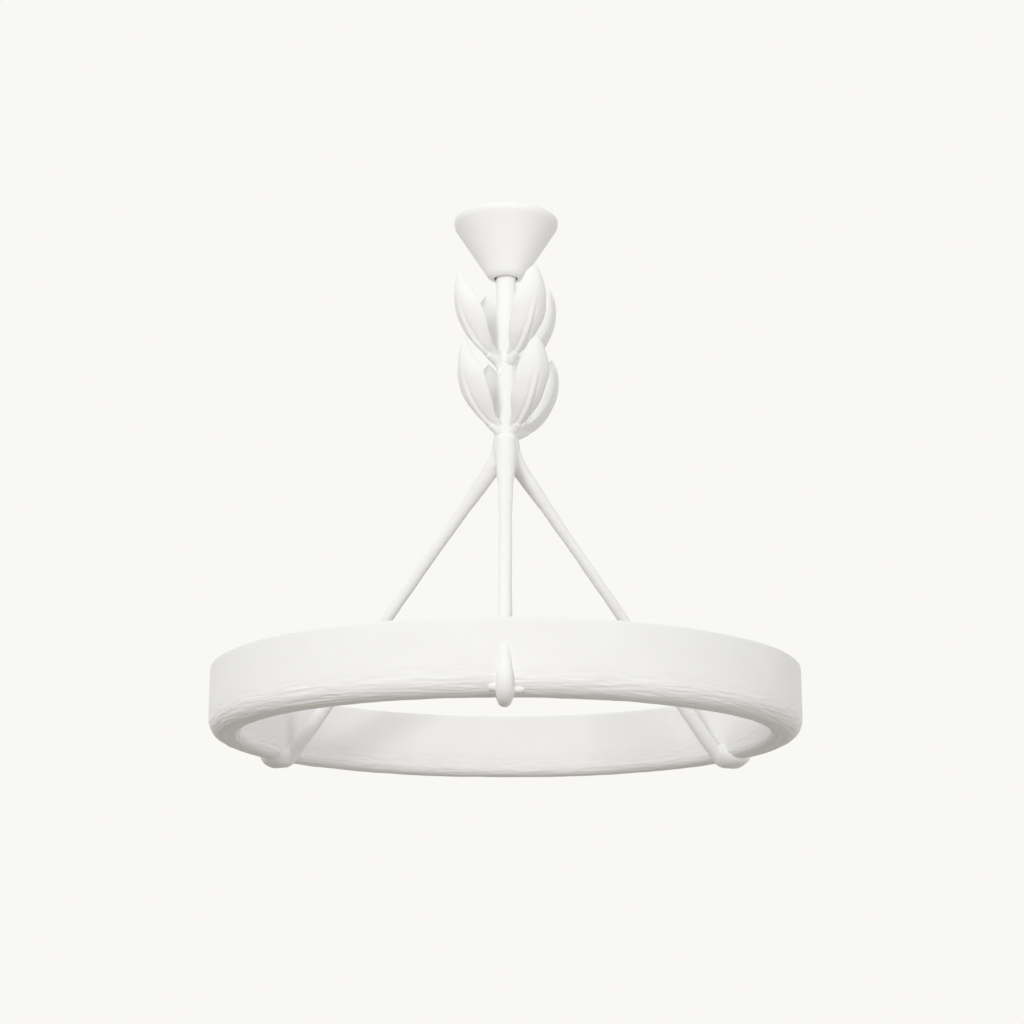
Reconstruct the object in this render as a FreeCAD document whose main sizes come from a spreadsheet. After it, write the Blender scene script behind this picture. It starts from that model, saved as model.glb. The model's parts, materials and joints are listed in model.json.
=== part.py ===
import FreeCAD, Part
import math
import os

import Sketcher
from FreeCAD import Placement, Rotation, Vector

# Plaster ring chandelier. Millimetres, +Z up, origin on the ceiling at the centre of the ceiling plate.
# The front arm points to -Y. Every driving size is a cell of the sheet, and the rest is worked out from them.

SIZES = [
    # Ring
    ("ring_radius", 382, "outer radius of the plaster ring"),
    ("ring_width", 43, "width of the ring, inside face to outside face"),
    ("ring_height", 88, "height of the ring"),
    ("ring_drop", 635.5, "ceiling to the top of the ring"),
    ("ring_outer_corner", 21, "rounding of the bottom's outer corner"),
    ("ring_inner_corner", 12, "rounding of the bottom's inner corner"),
    ("ring_edge", 1.5, "rounding of the two top edges"),
    ("rim_wall", 4, "wall thickness at the rim"),
    ("ledge_width", 1.5, "width of the diffuser ledge and of the tray ledge"),
    ("diffuser_ledge_drop", 12.5, "rim to the diffuser ledge"),
    ("tray_ledge_drop", 35.5, "rim to the tray ledge"),
    ("seat_gap", 0.3, "clearance beside the tray and the diffuser"),
    # Lighting in the ring
    ("diffuser_thickness", 3, "opal diffuser"),
    ("diffuser_count", 3, "diffuser segments"),
    ("diffuser_joint", 0.6, "gap between diffuser segments"),
    ("tray_thickness", 2, "aluminium tray"),
    ("board_thickness", 1.6, "lamp board"),
    ("board_width", 14, "lamp board"),
    ("board_count", 6, "lamp boards round the ring"),
    ("board_joint", 4, "gap between lamp boards"),
    ("board_screw_turn", 25, "angle from a board's middle to each of its screws"),
    ("board_screw_shank", 1.5, "radius"),
    ("board_screw_head", 2.75, "radius"),
    ("board_screw_head_height", 1.8, "height"),
    ("chip_side", 5, "lamp chip"),
    ("chip_height", 0.9, "lamp chip"),
    ("chip_count", 72, "lamp chips round the ring"),
    # Arms and their hooks
    ("arm_count", 3, "arms"),
    ("arm_radius", 7, "radius of a plastered arm"),
    ("arm_axis", 8.5, "distance of an arm's top from the stem's axis"),
    ("arm_bend", 42, "radius of the bend below the hub"),
    ("arm_stub", 5.8, "upright length at the top of an arm"),
    ("hook_stand", 1.5, "hook's centre line outside the ring's skin"),
    ("hook_radius", 10, "radius of the hook under the ring"),
    ("hook_swell", 45, "length over which an arm swells to its hook"),
    ("hook_tip_drop", 28.5, "ring's top to the tip of the hook"),
    ("hook_tip_radius", 2.5, "radius at the tip of the hook"),
    ("plaster_gap", 0.1, "joint between two plaster pieces"),
    # Stem, hub and swivel
    ("stem_radius", 12.5, "outer radius of the stem"),
    ("stem_wall", 2, "wall of the stem"),
    ("stem_top_drop", 65, "ceiling to the top of the stem"),
    ("stem_end_drop", 315, "ceiling to the end of the stem"),
    ("hub_lap", 9, "length of stem inside the hub"),
    ("hub_depth", 16, "stem's end to the bottom of the hub"),
    ("hub_collar", 1.2, "thickness of the hub's collar"),
    ("hub_radius", 17.6, "radius of the hub at its bottom"),
    ("hub_floor", 1, "gap between the stem's end and the tops of the arms"),
    ("slip_gap", 0.05, "clearance of screws, pins and spigots"),
    ("pivot_drop", 52, "ceiling to the trunnion axis"),
    ("barrel_radius", 9.7, "swivel barrel between the yoke's legs"),
    ("barrel_bore", 4, "radius of the cable way"),
    ("barrel_rise", 9, "barrel above the trunnion axis"),
    ("barrel_flange", 3, "thickness of the flange on the stem's top"),
    ("barrel_spigot", 15, "length of the spigot in the stem"),
    ("yoke_gap", 0.3, "clearance between barrel and leg"),
    ("yoke_thickness", 3, "strap of the yoke"),
    ("yoke_width", 16, "width of the strap"),
    ("yoke_bend", 2, "inside bend radius of the strap"),
    ("yoke_top_drop", 14.3, "ceiling to the top of the yoke"),
    ("yoke_leg_tail", 8, "leg below the trunnion axis"),
    ("trunnion_radius", 2.5, "trunnion screw"),
    ("trunnion_reach", 6, "stem's axis to the tip of a trunnion screw"),
    ("trunnion_head", 4.5, "radius of the head"),
    ("trunnion_head_height", 2.5, "height of the head"),
    ("nipple_radius", 5, "hollow threaded nipple"),
    ("nipple_bore", 3.5, "radius of the bore"),
    ("nipple_recess", 0.5, "nipple's top below the plate's top face"),
    ("nipple_tail", 2.2, "nipple below the swivel nut"),
    ("nut_corner", 9.2, "nuts, axis to corner"),
    ("nut_height", 5, "lock nut"),
    ("swivel_nut_height", 6, "retaining nut under the yoke"),
    ("washer_thickness", 1.5, "swivel washer"),
    ("washer_gap", 0.3, "washer's edge to the bend of the yoke"),
    # Leaves
    ("leaf_height", 118.5, "base to tip"),
    ("leaf_root", 2, "depth that a leaf's base is trimmed from, inside the stem's skin"),
    ("leaf_reach", 112.3, "stem's axis to the tip, if the tip had no curl"),
    ("leaf_curl", 38.3, "how far the tip curls back to the stem"),
    ("leaf_half_width", 26.8, "widest place"),
    ("leaf_base_half_width", 6, "at the stem"),
    ("leaf_tip_half_width", 2, "at the tip"),
    ("leaf_cup", 14.9, "keel in front of the edges"),
    ("leaf_thickness", 5, "at the keel"),
    ("leaf_edge", 3, "at the edges"),
    ("leaf_base_drop", 203.5, "ceiling to the base of the upper leaves"),
    ("leaf_tier_step", 100.5, "upper tier to lower tier"),
    ("leaf_front_left", -52, "turn from the front, plus to the right"),
    ("leaf_front_right", 28, "turn from the front"),
    ("leaf_back_right", 123, "turn from the front"),
    ("leaf_back_left", 203, "turn from the front"),
    # Canopy
    ("canopy_radius", 71.8, "rim"),
    ("canopy_height", 84, "rim to lip"),
    ("canopy_wall", 2.5, "sheet thickness at the lip"),
    ("canopy_side_wall", 2.9, "sheet thickness of the cone, level"),
    ("canopy_band", 6, "upright band at the rim"),
    ("canopy_shoulder", 25.5, "radius where the cone ends"),
    ("canopy_lip_height", 4.5, "cone's end to the lip"),
    ("canopy_lip_round", 9, "rounding into the lip"),
    ("canopy_lip", 18.5, "outer radius of the lip"),
    ("canopy_hole", 16, "radius of the hole round the stem"),
    ("grub_radius", 2, "canopy grub screw"),
    ("grub_drop", 9, "ceiling to the grub screws"),
    ("grub_length", 9.5, "canopy grub screw"),
    ("grub_gap", 0.3, "tip of a grub screw to its ear"),
    # Ceiling plate
    ("plate_radius", 62, "ceiling plate"),
    ("plate_thickness", 3, "ceiling plate"),
    ("slot_spacing", 80, "between the middles of the two box slots"),
    ("slot_length", 21.2, "end to end"),
    ("slot_radius", 2.6, "half the width of a slot"),
    ("ear_face", 60, "axis to the outer face of an ear"),
    ("ear_thickness", 2, "ear"),
    ("ear_width", 16, "ear"),
    ("ear_drop", 13, "ear below the plate"),
    ("bush_hole", 6, "radius of the supply hole"),
    ("bush_wall", 1.5, "supply bush"),
    ("bush_flange", 1.5, "flange of the supply bush, width and thickness"),
    ("bush_place", 18, "supply hole behind the axis, towards the front"),
    ("earth_screw_place", 50, "axis to the earth screw, towards the front"),
    ("earth_screw_turn", 60, "turn of the earth screw from the front"),
    ("small_screw_shank", 1.6, "radius of earth and driver screws"),
    ("small_screw_head", 3.2, "radius of their heads"),
    ("small_screw_head_height", 2.4, "height of their heads"),
    # Driver, terminals and leads
    ("driver_length", 64, "driver case"),
    ("driver_depth", 22, "driver case"),
    ("driver_height", 21, "driver case"),
    ("driver_corner", 3, "rounding of the case"),
    ("driver_place", 19, "axis to the near face of the case"),
    ("driver_tab", 9, "length of a fixing tab"),
    ("driver_tab_width", 11, "fixing tab"),
    ("driver_tab_thickness", 2, "fixing tab"),
    ("terminal_length", 24, "terminal block"),
    ("terminal_depth", 15, "terminal block"),
    ("terminal_height", 14, "terminal block"),
    ("terminal_place", 27, "axis to the near face of the block"),
    ("terminal_count", 3, "poles"),
    ("terminal_pitch", 7, "between poles"),
    ("terminal_screw", 2, "radius"),
    ("terminal_screw_height", 2.5, "height"),
    ("terminal_recess", 3, "depth of the screw wells"),
    ("lead_radius", 1.5, "lamp leads"),
    ("lead_way", 2.5, "radius of the way for a lead in an arm"),
    ("lead_bend", 5, "bend of the driver lead into the nipple"),
    ("lead_drop", 11, "ceiling to the driver lead"),
    ("lead_entry_height", 20.5, "ring's bottom to a lead's way in"),
    ("lead_entry_bend", 12, "bend of a lead from arm to ring"),
    ("lead_rise_bend", 6, "bend of a lead up to the tray"),
    ("lead_rise_inset", 1.5, "a lead's rise inward of the tray's middle"),
    ("lead_hole_gap", 0.3, "clearance round a lead"),
    ("pivot_slit", 0.3, "between the two ends of the lead at the swivel"),
    ("splice_top_drop", 86, "ceiling to the splice"),
    ("splice_length", 24, "splice"),
    ("mains_lead_radius", 2, "lead from the terminal block to the driver"),
    ("mains_lead_drop", 14, "ceiling to that lead"),
    ("mains_lead_bend", 8, "its bends"),
    ("mains_lead_stub", 3, "straight length at the driver"),
]

doc = FreeCAD.newDocument("RingChandelier")
sheet = doc.addObject("Spreadsheet::Sheet", "Sizes")
for row, (alias, value, meaning) in enumerate(SIZES, start=1):
    sheet.set(f"A{row}", meaning)
    sheet.set(f"B{row}", str(value))
    sheet.setAlias(f"B{row}", alias)
doc.recompute()


class Size:
    """A number from the sheet, or one worked out from others, with the expression that gives it."""

    def __init__(self, value, text):
        self.value = float(value)
        self.text = text

    def __add__(self, other):
        other = number(other)
        return Size(self.value + other.value, f"({self.text} + {other.text})")

    def __radd__(self, other):
        return number(other) + self

    def __sub__(self, other):
        other = number(other)
        return Size(self.value - other.value, f"({self.text} - {other.text})")

    def __rsub__(self, other):
        return number(other) - self

    def __mul__(self, other):
        other = number(other)
        return Size(self.value * other.value, f"({self.text} * {other.text})")

    def __rmul__(self, other):
        return number(other) * self

    def __truediv__(self, other):
        other = number(other)
        return Size(self.value / other.value, f"({self.text} / {other.text})")

    def __rtruediv__(self, other):
        return number(other) / self

    def __neg__(self):
        return Size(-self.value, f"(0 - {self.text})")


def number(value):
    """A plain number as a Size."""
    return value if isinstance(value, Size) else Size(value, f"({float(value)!r})")


def cell(alias):
    """The sheet's value under this alias."""
    return Size(sheet.get(alias), f"Sizes.{alias}")


def sine(angle):
    return Size(math.sin(math.radians(angle.value)), f"sin({angle.text})")


def cosine(angle):
    return Size(math.cos(math.radians(angle.value)), f"cos({angle.text})")


def tangent(angle):
    return Size(math.tan(math.radians(angle.value)), f"tan({angle.text})")


def arctangent(ratio):
    return Size(math.degrees(math.atan(ratio.value)), f"(atan({ratio.text}) / 1 deg)")


def arcsine(ratio):
    return Size(math.degrees(math.asin(ratio.value)), f"(asin({ratio.text}) / 1 deg)")


def length_of(x, y):
    return Size(math.hypot(x.value, y.value), f"sqrt({x.text} * {x.text} + {y.text} * {y.text})")


def arc_turn(length, radius):
    """Angle in degrees that a short length takes on a circle."""
    return length / radius * (180 / math.pi)


# Sketches

PIECES = []


def new_body(label):
    body = doc.addObject("PartDesign::Body", label)
    body.Label = label
    PIECES.append(body)
    return body


def origin_feature(body, role):
    return next(feature for feature in body.Origin.OriginFeatures if feature.Role == role)


def new_sketch(body, plane, name, lift=None):
    """A sketch on one of the body's origin planes, or parallel to it at the given lift."""
    sketch = body.newObject("Sketcher::SketchObject", f"{body.Label}_{name}")
    sketch.AttachmentSupport = [(origin_feature(body, plane), "")]
    sketch.MapMode = "FlatFace"
    if lift is not None:
        sketch.setExpression("AttachmentOffset.Base.z", lift.text)
    return sketch


def hold_point(sketch, element, end, place):
    """Fixes one point of a sketch at a place given by two sizes."""
    for kind, size in zip(("DistanceX", "DistanceY"), place):
        size = number(size)
        index = sketch.addConstraint(Sketcher.Constraint(kind, -1, 1, element, end, size.value))
        sketch.setExpression(f"Constraints[{index}]", size.text)


def add_circle(sketch, place, radius):
    x, y = (number(size) for size in place)
    element = sketch.addGeometry(Part.Circle(Vector(x.value, y.value, 0), Vector(0, 0, 1), radius.value), False)
    hold_point(sketch, element, 3, (x, y))
    index = sketch.addConstraint(Sketcher.Constraint("Radius", element, radius.value))
    sketch.setExpression(f"Constraints[{index}]", radius.text)


def add_outline(sketch, corners, closed=True):
    """Lines and arcs from corner to corner. A corner is (x, y), or (x, y, radius, turn) where an arc of under
    a half circle starts there, turning left for +1 and right for -1."""
    corners = [tuple(number(size) for size in corner[:2]) + tuple(corner[2:]) for corner in corners]
    count = len(corners) if closed else len(corners) - 1
    ends = []
    for i in range(count):
        corner = corners[i]
        after = corners[(i + 1) % len(corners)]
        start = Vector(corner[0].value, corner[1].value, 0)
        stop = Vector(after[0].value, after[1].value, 0)
        if len(corner) == 2:
            element = sketch.addGeometry(Part.LineSegment(start, stop), False)
            ends.append((element, 1, 2))
            continue
        radius, turn = corner[2:]
        half = (stop - start).Length / 2
        sag = radius.value - math.sqrt(max(radius.value**2 - half**2, 0))
        along = (stop - start).normalize()
        middle = (start + stop) * 0.5 + Vector(along.y, -along.x, 0) * (sag * turn)
        element = sketch.addGeometry(Part.Arc(start, middle, stop), False)
        ends.append((element, 1, 2) if turn > 0 else (element, 2, 1))
        index = sketch.addConstraint(Sketcher.Constraint("Radius", element, radius.value))
        sketch.setExpression(f"Constraints[{index}]", radius.text)
    for i in range(count if closed else count - 1):
        element, _, stop = ends[i]
        following, start, _ = ends[(i + 1) % count]
        sketch.addConstraint(Sketcher.Constraint("Coincident", element, stop, following, start))
    for corner, (element, start, _) in zip(corners, ends):
        hold_point(sketch, element, start, corner[:2])
    if not closed:
        hold_point(sketch, ends[-1][0], ends[-1][2], corners[-1][:2])


def add_box(sketch, x0, y0, x1, y1):
    add_outline(sketch, [(x0, y0), (x1, y0), (x1, y1), (x0, y1)])


# Features


def revolve(body, sketch, angle=None, kind="Revolution"):
    """Turns a sketch about the body's Z axis, all the way round or centred on its plane."""
    feature = body.newObject(f"PartDesign::{kind}", f"{sketch.Name}_turn")
    feature.Profile = sketch
    feature.ReferenceAxis = (sketch, ["V_Axis"])
    feature.Angle = 360
    if angle is not None:
        feature.Midplane = True
        feature.setExpression("Angle", angle.text)
    sketch.Visibility = False
    return feature


def pad(body, sketch, length, down=False, both_ways=False):
    feature = body.newObject("PartDesign::Pad", f"{sketch.Name}_pad")
    feature.Profile = sketch
    feature.Reversed = down
    feature.Midplane = both_ways
    feature.setExpression("Length", number(length).text)
    return feature


def pocket(body, sketch, length=None, up=False):
    """Cuts a sketch to a length below its plane, or above it, or right through both ways."""
    feature = body.newObject("PartDesign::Pocket", f"{sketch.Name}_cut")
    feature.Profile = sketch
    if length is None:
        feature.Type = 1
        feature.Midplane = True
    else:
        feature.Reversed = up
        feature.setExpression("Length", number(length).text)
    return feature


def pipe(body, profile, spine, kind="AdditivePipe"):
    feature = body.newObject(f"PartDesign::{kind}", f"{profile.Name}_pipe")
    feature.Profile = profile
    feature.Spine = (spine, [""])
    return feature


def repeat_around(body, features, count):
    """Copies features round the body's Z axis."""
    doc.recompute()
    pattern = body.newObject("PartDesign::PolarPattern", f"{body.Label}_{features[0].Name}_round")
    pattern.Originals = features
    pattern.Axis = (origin_feature(body, "Z_Axis"), [""])
    pattern.Angle = 360
    pattern.setExpression("Occurrences", count.text)
    body.Tip = pattern
    return pattern


def facing(turn):
    """Rotation that takes the +X side of a piece to a turn from the front, plus to the right."""
    return Rotation(Vector(0, 0, 1), turn - 90)


def turn_to(piece, turn):
    piece.Placement = Placement(Vector(0, 0, 0), facing(turn))


def cylinder(name, radius, top, bottom):
    """Upright cylinder on the Z axis between two heights."""
    solid = doc.addObject("Part::Cylinder", name)
    solid.setExpression("Radius", radius.text)
    solid.setExpression("Height", (top - bottom).text)
    solid.setExpression("Placement.Base.z", bottom.text)
    return solid


def hexagon(name, corner, top, bottom):
    """Upright hexagonal prism on the Z axis between two heights."""
    solid = doc.addObject("Part::Prism", name)
    solid.Polygon = 6
    solid.setExpression("Circumradius", corner.text)
    solid.setExpression("Height", (top - bottom).text)
    solid.setExpression("Placement.Base.z", bottom.text)
    return solid


def cut(label, base, *tools):
    """Base minus tools, as a piece of its own."""
    for index, tool in enumerate(tools, start=1):
        piece = doc.addObject("Part::Cut", label if index == len(tools) else f"{label}_cut_{index}")
        piece.Base = base
        piece.Tool = tool
        base = piece
    base.Label = label
    PIECES.append(base)
    return base


def as_piece(solid):
    PIECES.append(solid)
    return solid


# Places that several pieces share

ring_outer = cell("ring_radius")
ring_inner = ring_outer - cell("ring_width")
ring_top = -cell("ring_drop")
ring_bottom = ring_top - cell("ring_height")
inner_corner_height = ring_bottom + cell("ring_inner_corner")
outer_corner_height = ring_bottom + cell("ring_outer_corner")
corner_inner = ring_inner + cell("ring_inner_corner")
corner_outer = ring_outer - cell("ring_outer_corner")
ledge_wall = cell("rim_wall") + cell("ledge_width")
lower_wall = ledge_wall + cell("ledge_width")
diffuser_ledge = ring_top - cell("diffuser_ledge_drop")
tray_ledge = ring_top - cell("tray_ledge_drop")
tray_middle = ring_outer - cell("ring_width") / 2
tray_top = tray_ledge + cell("tray_thickness")
board_top = tray_top + cell("board_thickness")

# An arm's straight length is the common tangent of its bend below the hub and of its hook under the ring
stem_end = -cell("stem_end_drop")
arm_top = stem_end - cell("hub_floor")
bend_start = arm_top - cell("arm_stub")
bend_centre = cell("arm_axis") + cell("arm_bend")
hook_inner_track = cell("ring_inner_corner") + cell("hook_stand")
hook_outer_track = cell("ring_outer_corner") + cell("hook_stand")
centres_apart = corner_inner - bend_centre
centres_drop = bend_start - inner_corner_height
radii_apart = cell("arm_bend") - hook_inner_track
lean = (
    arctangent(centres_apart / centres_drop)
    + arcsine(radii_apart / length_of(centres_apart, centres_drop))
)
hook_start = (
    corner_inner - hook_inner_track * cosine(lean),
    inner_corner_height - hook_inner_track * sine(lean),
)
bend_end_radius = bend_centre - cell("arm_bend") * cosine(lean)
bend_end = bend_start - cell("arm_bend") * sine(lean)

lead_entry = ring_bottom + cell("lead_entry_height")
lead_rise = tray_middle - cell("lead_rise_inset")
plate_bottom = -cell("plate_thickness")
stem_top = -cell("stem_top_drop")
stem_bore = cell("stem_radius") - cell("stem_wall")
pivot = -cell("pivot_drop")
splice_top = -cell("splice_top_drop")
splice_bottom = splice_top - cell("splice_length")
yoke_top = -cell("yoke_top_drop")
yoke_inside = cell("barrel_radius") + cell("yoke_gap")
yoke_outside = yoke_inside + cell("yoke_thickness")
web_bottom = yoke_top - cell("yoke_thickness")
washer_bottom = web_bottom - cell("washer_thickness")
washer_radius = yoke_inside - cell("yoke_bend") - cell("washer_gap")
swivel_nut_bottom = washer_bottom - cell("swivel_nut_height")
nipple_bottom = swivel_nut_bottom - cell("nipple_tail")
nipple_hole = cell("nipple_radius") + cell("slip_gap")
lead_height = -cell("lead_drop")


def along_arm(back):
    """Point of an arm's straight length, a distance back from the start of its hook."""
    return hook_start[0] - back * sine(lean), hook_start[1] + back * cosine(lean)


def lead_route(start_height, entry_only):
    """Route of a lead from the stem down an arm and into the ring, and there up to the lamp board."""
    meeting = (lead_entry - hook_start[1]) / cosine(lean)
    bend_length = cell("lead_entry_bend") * tangent((90 - lean) / 2)
    x_bend, z_bend = along_arm(meeting + bend_length)
    x_meeting, _ = along_arm(meeting)
    route = [
        (cell("arm_axis"), start_height),
        (cell("arm_axis"), bend_start, cell("arm_bend"), 1),
        (bend_end_radius, bend_end),
        (x_bend, z_bend, cell("lead_entry_bend"), 1),
        (x_meeting + bend_length, lead_entry),
    ]
    if entry_only:
        return route + [(ring_inner + lower_wall, lead_entry)]
    rise_start = lead_rise - cell("lead_rise_bend")
    return route + [
        (rise_start, lead_entry, cell("lead_rise_bend"), 1),
        (lead_rise, lead_entry + cell("lead_rise_bend")),
        (lead_rise, tray_top),
    ]


# Ring and the lighting in it


def add_ring_skin(sketch, gap, top):
    """Outside of the ring's section, as a closed outline that stands a gap off it."""
    add_outline(sketch, [
        (ring_outer + gap, top),
        (ring_inner - gap, top),
        (ring_inner - gap, inner_corner_height, cell("ring_inner_corner") + gap, 1),
        (corner_inner, ring_bottom - gap),
        (corner_outer, ring_bottom - gap, cell("ring_outer_corner") + gap, 1),
        (ring_outer + gap, outer_corner_height),
    ])


def ring_trough():
    body = new_body("ring_trough")
    edge = cell("ring_edge")
    inner_corner = cell("ring_inner_corner")
    outer_corner = cell("ring_outer_corner")
    rim_wall = cell("rim_wall")
    section = new_sketch(body, "XZ_Plane", "section")
    add_outline(section, [
        (ring_inner + rim_wall, ring_top),
        (ring_inner + edge, ring_top, edge, 1),
        (ring_inner, ring_top - edge),
        (ring_inner, inner_corner_height, inner_corner, 1),
        (corner_inner, ring_bottom),
        (corner_outer, ring_bottom, outer_corner, 1),
        (ring_outer, outer_corner_height),
        (ring_outer, ring_top - edge, edge, 1),
        (ring_outer - edge, ring_top),
        (ring_outer - rim_wall, ring_top),
        (ring_outer - rim_wall, diffuser_ledge),
        (ring_outer - ledge_wall, diffuser_ledge),
        (ring_outer - ledge_wall, tray_ledge),
        (ring_outer - lower_wall, tray_ledge),
        (ring_outer - lower_wall, outer_corner_height, outer_corner - lower_wall, -1),
        (corner_outer, ring_bottom + lower_wall),
        (corner_inner, ring_bottom + lower_wall, inner_corner - lower_wall, -1),
        (ring_inner + lower_wall, inner_corner_height),
        (ring_inner + lower_wall, tray_ledge),
        (ring_inner + ledge_wall, tray_ledge),
        (ring_inner + ledge_wall, diffuser_ledge),
        (ring_inner + rim_wall, diffuser_ledge),
    ])
    revolve(body, section)
    ways = new_sketch(body, "YZ_Plane", "lead_way")
    add_circle(ways, (0, lead_entry), cell("lead_way"))
    way = pocket(body, ways, tray_middle, up=True)
    repeat_around(body, [way], cell("arm_count"))
    turn_to(body, 0)


def lead_bushes():
    body = new_body("lead_bushes")
    face = new_sketch(body, "YZ_Plane", "ring", ring_inner)
    add_circle(face, (0, lead_entry), cell("lead_way") - cell("slip_gap"))
    add_circle(face, (0, lead_entry), cell("lead_radius") + cell("slip_gap"))
    tube = pad(body, face, lower_wall)
    repeat_around(body, [tube], cell("arm_count"))
    turn_to(body, 0)


def screw_places():
    """Where a lamp board's two screws stand, for a board centred on +X."""
    turn = cell("board_screw_turn")
    return [(tray_middle * cosine(turn), tray_middle * sine(turn) * side) for side in (1, -1)]


def led_tray():
    body = new_body("led_tray")
    gap = cell("seat_gap")
    section = new_sketch(body, "XZ_Plane", "section")
    add_box(section, ring_inner + ledge_wall + gap, tray_ledge, ring_outer - ledge_wall - gap, tray_top)
    revolve(body, section)
    lead_hole = new_sketch(body, "XY_Plane", "lead_hole", tray_top)
    add_circle(lead_hole, (lead_rise, 0), cell("lead_radius") + cell("lead_hole_gap"))
    hole = pocket(body, lead_hole, cell("tray_thickness"))
    repeat_around(body, [hole], cell("arm_count"))
    screw_holes = new_sketch(body, "XY_Plane", "screw_holes", tray_top)
    for place in screw_places():
        add_circle(screw_holes, place, cell("board_screw_shank") + cell("slip_gap"))
    holes = pocket(body, screw_holes, cell("tray_thickness"))
    repeat_around(body, [holes], cell("board_count"))
    turn_to(body, 0)


def led_boards():
    body = new_body("led_boards")
    half = cell("board_width") / 2
    section = new_sketch(body, "XZ_Plane", "section")
    add_box(section, tray_middle - half, tray_top, tray_middle + half, board_top)
    board = revolve(body, section, 360 / cell("board_count") - arc_turn(cell("board_joint"), tray_middle))
    screw_holes = new_sketch(body, "XY_Plane", "screw_holes", board_top)
    for place in screw_places():
        add_circle(screw_holes, place, cell("board_screw_shank") + cell("slip_gap"))
    holes = pocket(body, screw_holes, cell("board_thickness"))
    repeat_around(body, [board, holes], cell("board_count"))
    turn_to(body, 0)


def board_screws():
    body = new_body("board_screws")
    shanks = new_sketch(body, "XY_Plane", "shanks", tray_ledge)
    heads = new_sketch(body, "XY_Plane", "heads", board_top)
    for place in screw_places():
        add_circle(shanks, place, cell("board_screw_shank"))
        add_circle(heads, place, cell("board_screw_head"))
    shank = pad(body, shanks, cell("tray_thickness") + cell("board_thickness"))
    head = pad(body, heads, cell("board_screw_head_height"))
    repeat_around(body, [shank, head], cell("board_count"))
    turn_to(body, 0)


def led_chips():
    body = new_body("led_chips")
    half = cell("chip_side") / 2
    face = new_sketch(body, "XY_Plane", "face", board_top)
    add_box(face, tray_middle - half, -half, tray_middle + half, half)
    chip = pad(body, face, cell("chip_height"))
    repeat_around(body, [chip], cell("chip_count"))
    turn_to(body, 180 / cell("chip_count").value)


def diffuser(index):
    body = new_body(f"diffuser_{index + 1}")
    gap = cell("seat_gap")
    section = new_sketch(body, "XZ_Plane", "section")
    add_box(
        section,
        ring_inner + cell("rim_wall") + gap,
        diffuser_ledge,
        ring_outer - cell("rim_wall") - gap,
        diffuser_ledge + cell("diffuser_thickness"),
    )
    revolve(body, section, 360 / cell("diffuser_count") - arc_turn(cell("diffuser_joint"), tray_middle))
    turn_to(body, 360 / cell("diffuser_count").value * index)


# Arms, hub and stem


def add_ring_of_hook(body, name, place, heading, radius):
    """Circle across the hook's track at a place, for a heading measured from straight down."""
    ring = new_sketch(body, "XY_Plane", name)
    ring.AttachmentOffset = Placement(Vector(0, 0, 0), Rotation(Vector(0, 1, 0), 180 - heading.value))
    ring.setExpression("AttachmentOffset.Base.x", place[0].text)
    ring.setExpression("AttachmentOffset.Base.z", place[1].text)
    ring.setExpression("AttachmentOffset.Rotation.Angle", (180 - heading).text)
    add_circle(ring, (0, 0), radius)
    return ring


def taper(body, name, rings):
    """Cones from circle to circle."""
    loft = body.newObject("PartDesign::AdditiveLoft", f"{body.Label}_{name}")
    loft.Profile = rings[0]
    loft.Sections = rings[1:]
    loft.Ruled = True
    return loft


def add_hook(body):
    """Swelling end of an arm that runs under the ring and up its outside as a tapered prong."""
    hook = cell("hook_radius")
    tip = cell("hook_tip_radius")
    swell_start = add_ring_of_hook(body, "swell_start", along_arm(cell("hook_swell")), lean, cell("arm_radius"))
    swell_end = add_ring_of_hook(body, "swell_end", hook_start, lean, hook)
    taper(body, "swell", [swell_start, swell_end])
    track = new_sketch(body, "XZ_Plane", "hook_track")
    add_outline(track, [
        hook_start + (hook_inner_track, 1),
        (corner_inner, inner_corner_height - hook_inner_track),
        (corner_outer, outer_corner_height - hook_outer_track, hook_outer_track, 1),
        (corner_outer + hook_outer_track, outer_corner_height),
    ], closed=False)
    start = add_ring_of_hook(body, "hook_start", hook_start, lean, hook)
    pipe(body, start, track)
    prong = ring_top - cell("hook_tip_drop") - outer_corner_height
    rings = []
    for share, thinning in ((0, 0), (0.45, 0.22), (0.85, 0.65), (1, 1)):
        place = (corner_outer + hook_outer_track, outer_corner_height + prong * share)
        radius = hook + (tip - hook) * thinning
        rings.append(add_ring_of_hook(body, f"prong_{len(rings)}", place, number(180), radius))
    taper(body, "prong", rings)


def arm(index):
    body = new_body(f"arm_{index + 1}")
    top = new_sketch(body, "XY_Plane", "top", arm_top)
    add_circle(top, (cell("arm_axis"), 0), cell("arm_radius"))
    spine = new_sketch(body, "XZ_Plane", "spine")
    add_outline(spine, [
        (cell("arm_axis"), arm_top),
        (cell("arm_axis"), bend_start, cell("arm_bend"), 1),
        (bend_end_radius, bend_end),
        along_arm(cell("hook_swell")),
    ], closed=False)
    pipe(body, top, spine)
    add_hook(body)
    seat = new_sketch(body, "XZ_Plane", "ring_seat")
    add_ring_skin(seat, cell("plaster_gap"), ring_top)
    revolve(body, seat, kind="Groove")
    way_top = new_sketch(body, "XY_Plane", "way_top", arm_top)
    add_circle(way_top, (cell("arm_axis"), 0), cell("lead_way"))
    way = new_sketch(body, "XZ_Plane", "way")
    add_outline(way, lead_route(arm_top, entry_only=True), closed=False)
    pipe(body, way_top, way, kind="SubtractivePipe")
    turn_to(body, 360 / cell("arm_count").value * index)


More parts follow.
